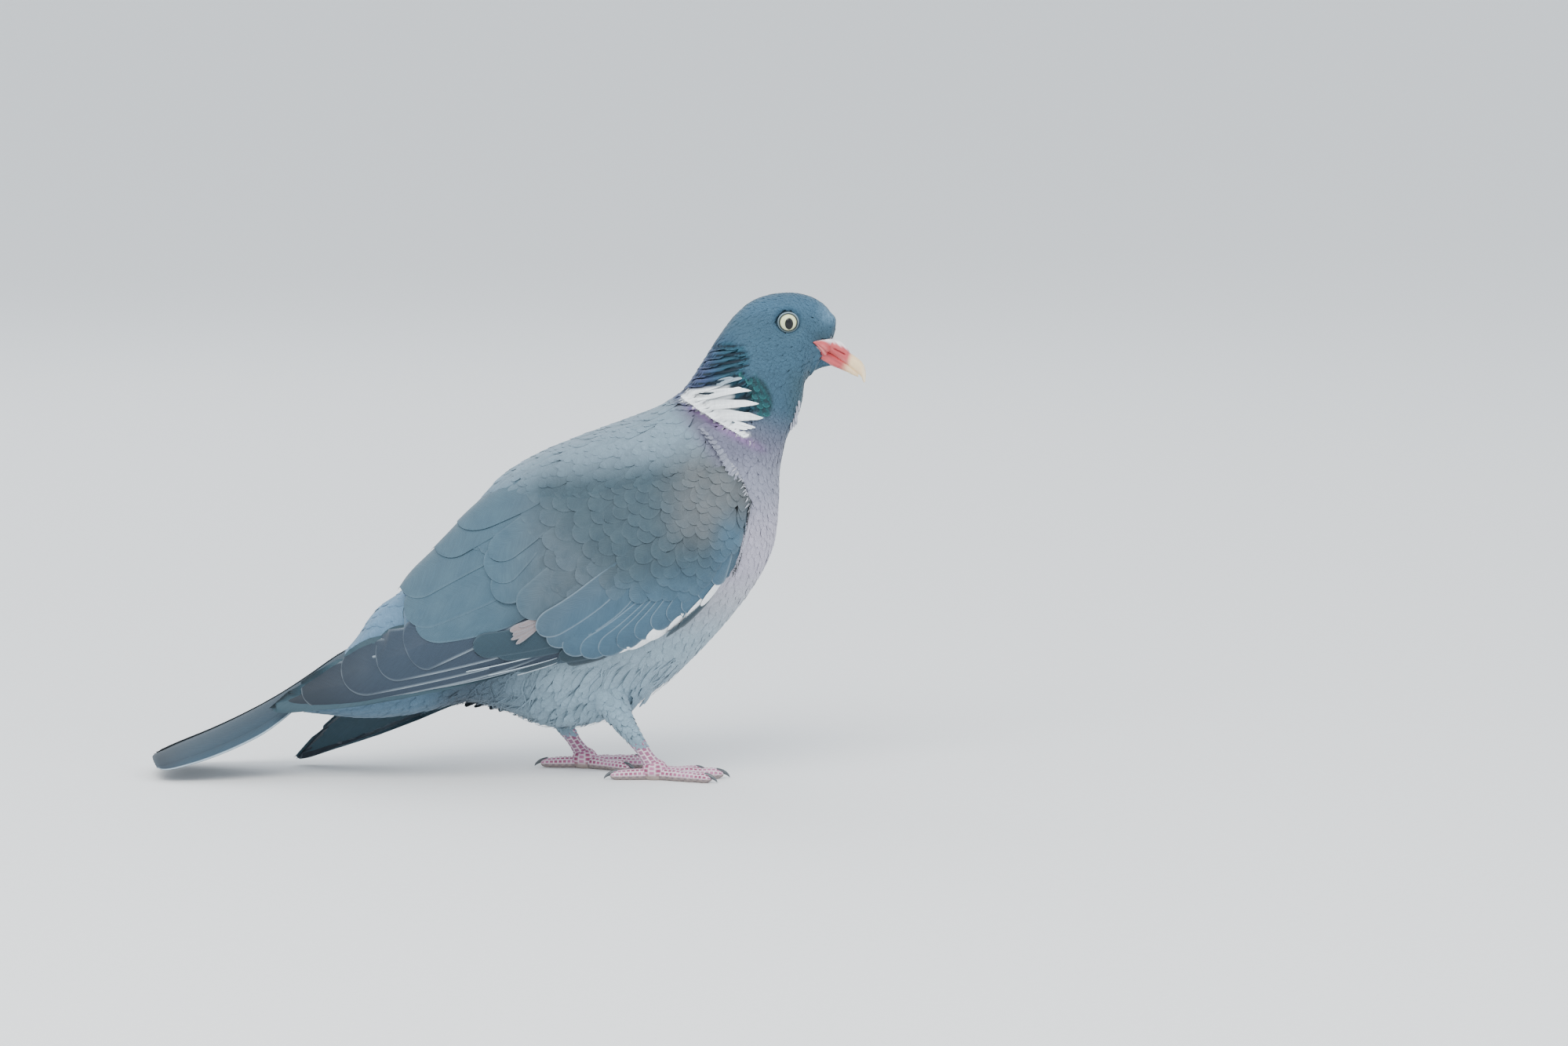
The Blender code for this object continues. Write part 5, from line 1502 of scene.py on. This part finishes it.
# %% Eyeballs and lids
def eye_material():
    """Wet eye: pupil, iris and dark limbus as rings around the eye's own axis."""
    made, tree = new_material("iris_under_cornea")
    where = add_node(tree, "TexCoord")
    centred = add_node(tree, "Mapping", {"Location": (-EYE[0], 0.0, -EYE[2]),
                       "Scale": (1000.0, 0.0, 1000.0)}, {"Vector": where.outputs["Object"]})
    ring = add_node(tree, "VectorMath", {"operation": "LENGTH"}, {0: centred.outputs[0]})
    oval = add_node(tree, "Mapping", {"Location": (-0.45, 0.0, 0.55), "Scale": (1.30, 0.0, 0.93)},
                    {"Vector": centred.outputs[0]})
    pupil = add_node(tree, "VectorMath", {"operation": "LENGTH"}, {0: oval.outputs[0]})
    fibres = add_node(tree, "TexNoise", {"Scale": 1.4, "Detail": 4.0}, {"Vector": centred.outputs[0]})
    wobble = arithmetic(tree, "MULTIPLY_ADD", fibres.outputs["Fac"], 0.5, ring.outputs["Value"])
    reach = add_node(tree, "MapRange", {"From Max": 5.0}, {"Value": wobble})
    iris = add_node(tree, "ValToRGB", links={"Fac": reach.outputs[0]})
    stops = ((0.0, "#9fac84"), (0.50, "#c6cf9f"), (0.72, "#d8dbb2"), (0.80, "#b4bd92"), (0.87, "#2a3432"),
             (1.0, "#141a1b"))
    for place, shade in stops[1:-1]:
        iris.color_ramp.elements.new(place)
    for element, (place, shade) in zip(iris.color_ramp.elements, stops):
        element.position, element.color = place, (*linear(shade), 1.0)
    hole = add_node(tree, "MapRange", {"From Min": 2.42, "From Max": 2.62},
                    {"Value": pupil.outputs["Value"]})
    # of a colour mix's sockets, 0 is the share, 6 and 7 the two colours, and output 2 the result
    colour = add_node(tree, "Mix", {"data_type": "RGBA", 6: (*linear("#04090b"), 1.0)},
                      {0: hole.outputs[0], 7: iris.outputs["Color"]})
    shader = add_node(tree, "BsdfPrincipled",
                      {"Roughness": 0.3, "Specular IOR Level": 0.2, "Coat Weight": 0.35,
                       "Coat Roughness": 0.04},
                      {"Base Color": colour.outputs[2]})
    add_node(tree, "OutputMaterial", links={"Surface": shader.outputs[0]})
    return made


def turned_ring(centre, major, minor, side, push, count=96, sides=16):
    """A torus about the bird's cross axis, its tube taller than wide; push moves it outward."""
    around, angle = circle(count)[:, None], circle(sides)[None, :]
    reach = major + minor * np.cos(angle)
    x, z = centre[0] + reach * np.cos(around), centre[2] + 0.97 * reach * np.sin(around)
    y = side * (centre[1] + push + 1.1 * minor * np.sin(angle))
    points = np.stack(np.broadcast_arrays(x, y, z), -1).reshape(-1, 3)
    j = np.arange(sides)
    k, last = (j + 1) % sides, (count - 1) * sides
    closing = [np.stack(half, -1) for half in ((last + j, last + k, k), (last + j, k, j))]
    return points, outward(points, np.concatenate([grid_triangles(count, sides, closed=True), *closing]))


cornea = eye_material()
lid_skin = bare_material("bare_lid_skin", 0.5, 0.9, 0.08)
turn, around = np.linspace(0.0, np.pi, 64)[1:-1, None], circle(96)[None, :]
globe = np.stack(np.broadcast_arrays(np.sin(turn) * np.cos(around), -np.cos(turn),
                                     np.sin(turn) * np.sin(around)), -1)
for hand, side in (("left", 1.0), ("right", -1.0)):
    ball = EYE * np.array((1.0, side, 1.0)) + EYE_RADIUS * globe
    keep_piece(mesh_object("eyeball_" + hand, *tube_mesh(ball), cornea), "eye", "eye_" + hand)
    # ring radius, tube radius and how far out it stands, in mm; colours of its top and its foot, which on the
    # lid are a painted highlight above and painted shade below
    for name, major, minor, push, shades in (("lid", 4.62, 0.42, 2.70, ("#71858f", "#3f5159")),
                                             ("lid_edge", 4.14, 0.26, 3.02, ("#10181b", "#161f23"))):
        points, triangles = turned_ring(EYE, major, minor, side, push)
        colours = mix(linear(shades[1]), linear(shades[0]), ease(points[:, 2], EYE[2] - 4.0, EYE[2] + 5.0))
        keep_piece(mesh_object(f"{name}_{hand}", points, triangles, lid_skin, None, colours), "eye")

# %% [markdown]
# ## Legs, toes and claws
# Shanks and toes are covered in horny plates. Each plate is a little raised, magenta pink, and
# worn white along its seams; the soles are soft beige pads. The plates are part of the loft: a
# brick pattern around and along the limb lifts the surface and colours it from one formula.

# %% Scaled limbs
SHANK = np.array(((61.2, 17.5, 3.7, 3), (64, 13.3, 3.1, 2.6), (67, 9, 3.5, 3),
                  (68.6, 6.8, 4.2, 3.6)))
# heading in degrees from ahead, length, radius at root and tip, and number of pads of each toe
TOES = {"middle": (4.0, 32.0, 3.3, 2.5, 3), "outer": (-24.0, 29.0, 3.1, 2.3, 4),
        "inner": (33.0, 26.0, 3.1, 2.3, 2), "hind": (184.0, 21.0, 2.9, 2.3, 1)}
FOOT_X = 69.5
FLOOR_GAP = 0.06          # nothing of a foot reaches lower than this, in mm
HUB = np.array((6.0, 4.8, 5.6))      # half length, half width and half height of the ball of the foot
CLAW_TURN = math.radians(78.0)       # a claw bends through this angle
CLAW_LENGTH = 8.6
LIMB = palette(plate="#8d3a60", plate_light="#ad6a8d", seam="#d2c3cc", pad="#988a84", pad_dark="#70656a",
               shank="#97708a", claw="#33383c", claw_tip="#747a7f")


def plates(along, around, size, seam=0.16):
    """Brick pattern: one on a plate and nought in its seam, with every other course shifted."""
    course = np.floor(around)
    shift = 0.5 * np.mod(course, 2.0)
    u = np.mod(along / size + shift, 1.0)
    v = np.mod(around, 1.0)
    edge = np.minimum(np.minimum(u, 1.0 - u), np.minimum(v, 1.0 - v))
    return ease(edge, 0.35 * seam, seam), np.floor(along / size + shift) * 7.0 + course * 3.0


def shank_loft(y, back):
    """The bare leg: oval rings with plates 2.3 mm long in eight courses round it."""
    rings = leg_rings(smooth_rows(SHANK, np.linspace(0, 3, 90)), 96, y, back)
    along, around = np.broadcast_arrays(np.linspace(0, 13.5, 90)[:, None],
                                        np.linspace(0.0, 8.0, 97)[None, :-1])
    lifted, mark = plates(along, around, 2.3)
    tone = mix(LIMB["plate"], LIMB["shank"], 0.6 + 0.25 * np.sin(mark * 2.7))
    return rings + tube_normals(rings) * (0.16 * lifted)[..., None], mix(LIMB["seam"], tone, lifted)


def toe_loft(hub, ahead, beside, heading, reach, root, tip, pads):
    """A toe: a round tube, waisted between its pads, plated on top and warty below."""
    t, angle = np.linspace(0.0, 1.0, 120)[:, None], circle(64)[None, :]
    thick = root + (tip - root) * t
    radius = thick * (1.0 - 0.07 * np.cos(2 * np.pi * pads * (1.0 - t)))
    radius = radius * (0.25 + 0.75 * np.sqrt(np.clip((1.0 - t) / 0.12, 0.0, 1.0)))
    along, around = np.broadcast_arrays(t * reach, angle / (2 * np.pi) * 10.0 + 0.5)
    lifted, mark = plates(along, around, 2.1, 0.22)
    on_top = ease(np.cos(angle), -0.25, 0.05)
    warts = 0.10 * np.sin(along * 4.1) * np.sin(around * 6.3)
    size = radius + 0.17 * lifted * on_top + warts * (1.0 - on_top)
    rings = hub + along[..., None] * ahead + (size * np.sin(angle))[..., None] * beside
    rings[..., 2] = np.maximum(rings[..., 2] + 0.86 * thick + size * np.cos(angle), FLOOR_GAP)
    plate = mix(LIMB["plate"], LIMB["plate_light"], 0.5 + 0.5 * np.sin(mark * 1.9 + heading))
    pad = mix(LIMB["pad_dark"], LIMB["pad"], 0.5 + 0.5 * np.sin(along * 2.0) * np.cos(around * 2.0))
    return rings, mix(pad, mix(LIMB["seam"], plate, lifted), on_top)


def claw_loft(hub, ahead, beside, reach, tip):
    """A claw: it leaves the top of the toe's tip and bends down through most of a quarter turn."""
    s, ring = np.linspace(0.0, 1.0, 40)[:, None], circle(28)
    swing, bend = s * CLAW_TURN, CLAW_LENGTH / CLAW_TURN
    forward = reach - 3.2 + bend * np.sin(swing)
    drop = 1.25 * tip + 0.6 - bend * (1.0 - np.cos(swing))
    drop = drop + (0.5 - drop[-1]) * s ** 2
    thick = 1.35 * (1.0 - s) ** 0.75 + 0.07
    upright = np.array((0.0, 0.0, 1.0))
    normal = np.cos(swing) * upright + np.sin(swing) * ahead
    rings = (hub + forward * ahead + drop * upright)[:, None]
    rings = rings + (0.78 * thick * np.sin(ring))[..., None] * beside
    rings = rings + (thick * np.cos(ring))[..., None] * normal[:, None]
    rings[..., 2] = np.maximum(rings[..., 2], 0.05)
    return rings, mix(LIMB["claw"], LIMB["claw_tip"], (0.25 + 0.5 * s ** 3) * (0.6 + 0.4 * np.cos(ring)))


def hub_loft(hub):
    """The ball of the foot: a plated ellipsoid, flat on the floor."""
    turn, around = np.linspace(0.0, np.pi, 60)[1:-1, None], circle(72)[None, :]
    ball = HUB * np.stack(np.broadcast_arrays(np.sin(turn) * np.cos(around), np.sin(turn) * np.sin(around),
                                              np.cos(turn)), -1)
    lifted, mark = plates(6.0 * turn, around * 12.0 / (2 * np.pi), 2.2, 0.2)
    ball = hub + np.array((0.0, 0.0, 0.72 * HUB[2])) + ball * (1.0 + 0.025 * lifted)[..., None]
    ball[..., 2] = np.maximum(ball[..., 2], FLOOR_GAP)
    plate = mix(LIMB["plate"], LIMB["plate_light"], 0.5 + 0.5 * np.sin(mark))
    return ball, mix(LIMB["pad"], mix(LIMB["seam"], plate, lifted), ease(ball[..., 2], 1.5, 3.5))


print("plates along the longest toe:", TOES["middle"][1] / 2.1)

# %% Both legs
limb_finish = bare_material("horny_leg_scales", 0.48, 0.8, 0.05, weight=0.06, contrast=0.10)
claw_finish = bare_material("claw_keratin", 0.30, 1.2, 0.02, coat=0.2, contrast=0.10)
for hand, (y, back) in legs.items():
    painted("scaled_shank_" + hand, [shank_loft(y, back)], limb_finish, "foot_skin", "shank_" + hand)
    hub = np.array((FOOT_X - back, y, 0.0))
    foot = []
    for toe, (heading, reach, root, tip, pads) in TOES.items():
        turn = -np.sign(y) * math.radians(heading)
        ahead = np.array((math.cos(turn), math.sin(turn), 0.0))
        beside = np.array((-ahead[1], ahead[0], 0.0))
        foot.append(toe_loft(hub, ahead, beside, heading, reach, root, tip, pads))
        claw = claw_loft(hub, ahead, beside, reach, tip)
        painted(f"claw_{toe}_{hand}_horn", [claw], claw_finish, "claw", f"claw_{toe}_{hand}")
    foot.append(hub_loft(hub))
    painted("scaled_foot_" + hand, foot, limb_finish, "foot_skin", "foot_" + hand)

# %% [markdown]
# ## Floor, light and camera
# The bird stands on a plain pale floor that runs on behind it. Light is that of a bright overcast
# day: a pale sky all round and one large soft panel high in front, so feathers show by shape and
# not by glare. The camera stands 2.76 m off with a long lens, 6.5 degrees above the bird.

# %% Floor, sky and panels
FLOOR_HALF = 40.0
floor_mesh = bpy.data.meshes.new("floor")
floor_mesh.from_pydata([(-FLOOR_HALF, -FLOOR_HALF, 0.0), (FLOOR_HALF, -FLOOR_HALF, 0.0),
                        (FLOOR_HALF, FLOOR_HALF, 0.0), (-FLOOR_HALF, FLOOR_HALF, 0.0)], [], [(0, 1, 2, 3)])
floor = bpy.data.objects.new("floor", floor_mesh)
bpy.context.scene.collection.objects.link(floor)
paint = bpy.data.materials.new("matt_floor_paint")
paint.use_nodes = True
tree = paint.node_tree
shader = tree.nodes["Principled BSDF"]
grain = add_node(tree, "TexNoise", {"Scale": 240.0, "Detail": 4.0},
                 {"Vector": add_node(tree, "TexCoord").outputs["Object"]})
pale = add_node(tree, "MapRange", {"To Min": 0.80, "To Max": 0.84}, {"Value": grain.outputs["Fac"]})
tree.links.new(pale.outputs[0], shader.inputs["Base Color"])
shader.inputs["Roughness"].default_value = 0.85
floor_mesh.materials.append(paint)

sky = bpy.data.worlds.new("overcast_sky")
bpy.context.scene.world = sky
sky.use_nodes = True
background = sky.node_tree.nodes["Background"]
background.inputs["Color"].default_value = (*linear("#e6eef5"), 1.0)
background.inputs["Strength"].default_value = 1.5

# name, place, width in metres, power in watts and tint of each soft panel
LAMPS = (("key_panel", (-0.5, -1.6, 1.9), 1.6, 62.0, "#fbfaf6"),
         ("fill_panel", (1.6, -1.4, 0.9), 1.5, 12.0, "#eef4fb"),
         ("back_panel", (-0.6, 1.8, 1.7), 1.6, 16.0, "#f2f6fb"))
for name, place, size, power, tint in LAMPS:
    lamp = bpy.data.lights.new(name, "AREA")
    lamp.size, lamp.energy, lamp.color = size, power, linear(tint)
    item = bpy.data.objects.new(name, lamp)
    item.location = place
    item.rotation_euler = (Vector((0.06, 0.0, 0.11)) - Vector(place)).to_track_quat("-Z", "Y").to_euler()
    bpy.context.scene.collection.objects.link(item)

# %% Camera
AIM = Vector((0.1298, 0.0, 0.1186))
DISTANCE, RISE = 2.76, math.radians(6.5)
camera = bpy.data.objects.new("camera", bpy.data.cameras.new("camera"))
camera.location = AIM + DISTANCE * Vector((0.0, -math.cos(RISE), math.sin(RISE)))
camera.rotation_euler = (math.radians(90.0) - RISE, 0.0, 0.0)
camera.data.lens, camera.data.sensor_width = 135.2, 36.0
camera.data.clip_end = 200.0
bpy.context.scene.collection.objects.link(camera)
bpy.context.scene.camera = camera
print("camera at", tuple(round(value, 3) for value in camera.location))
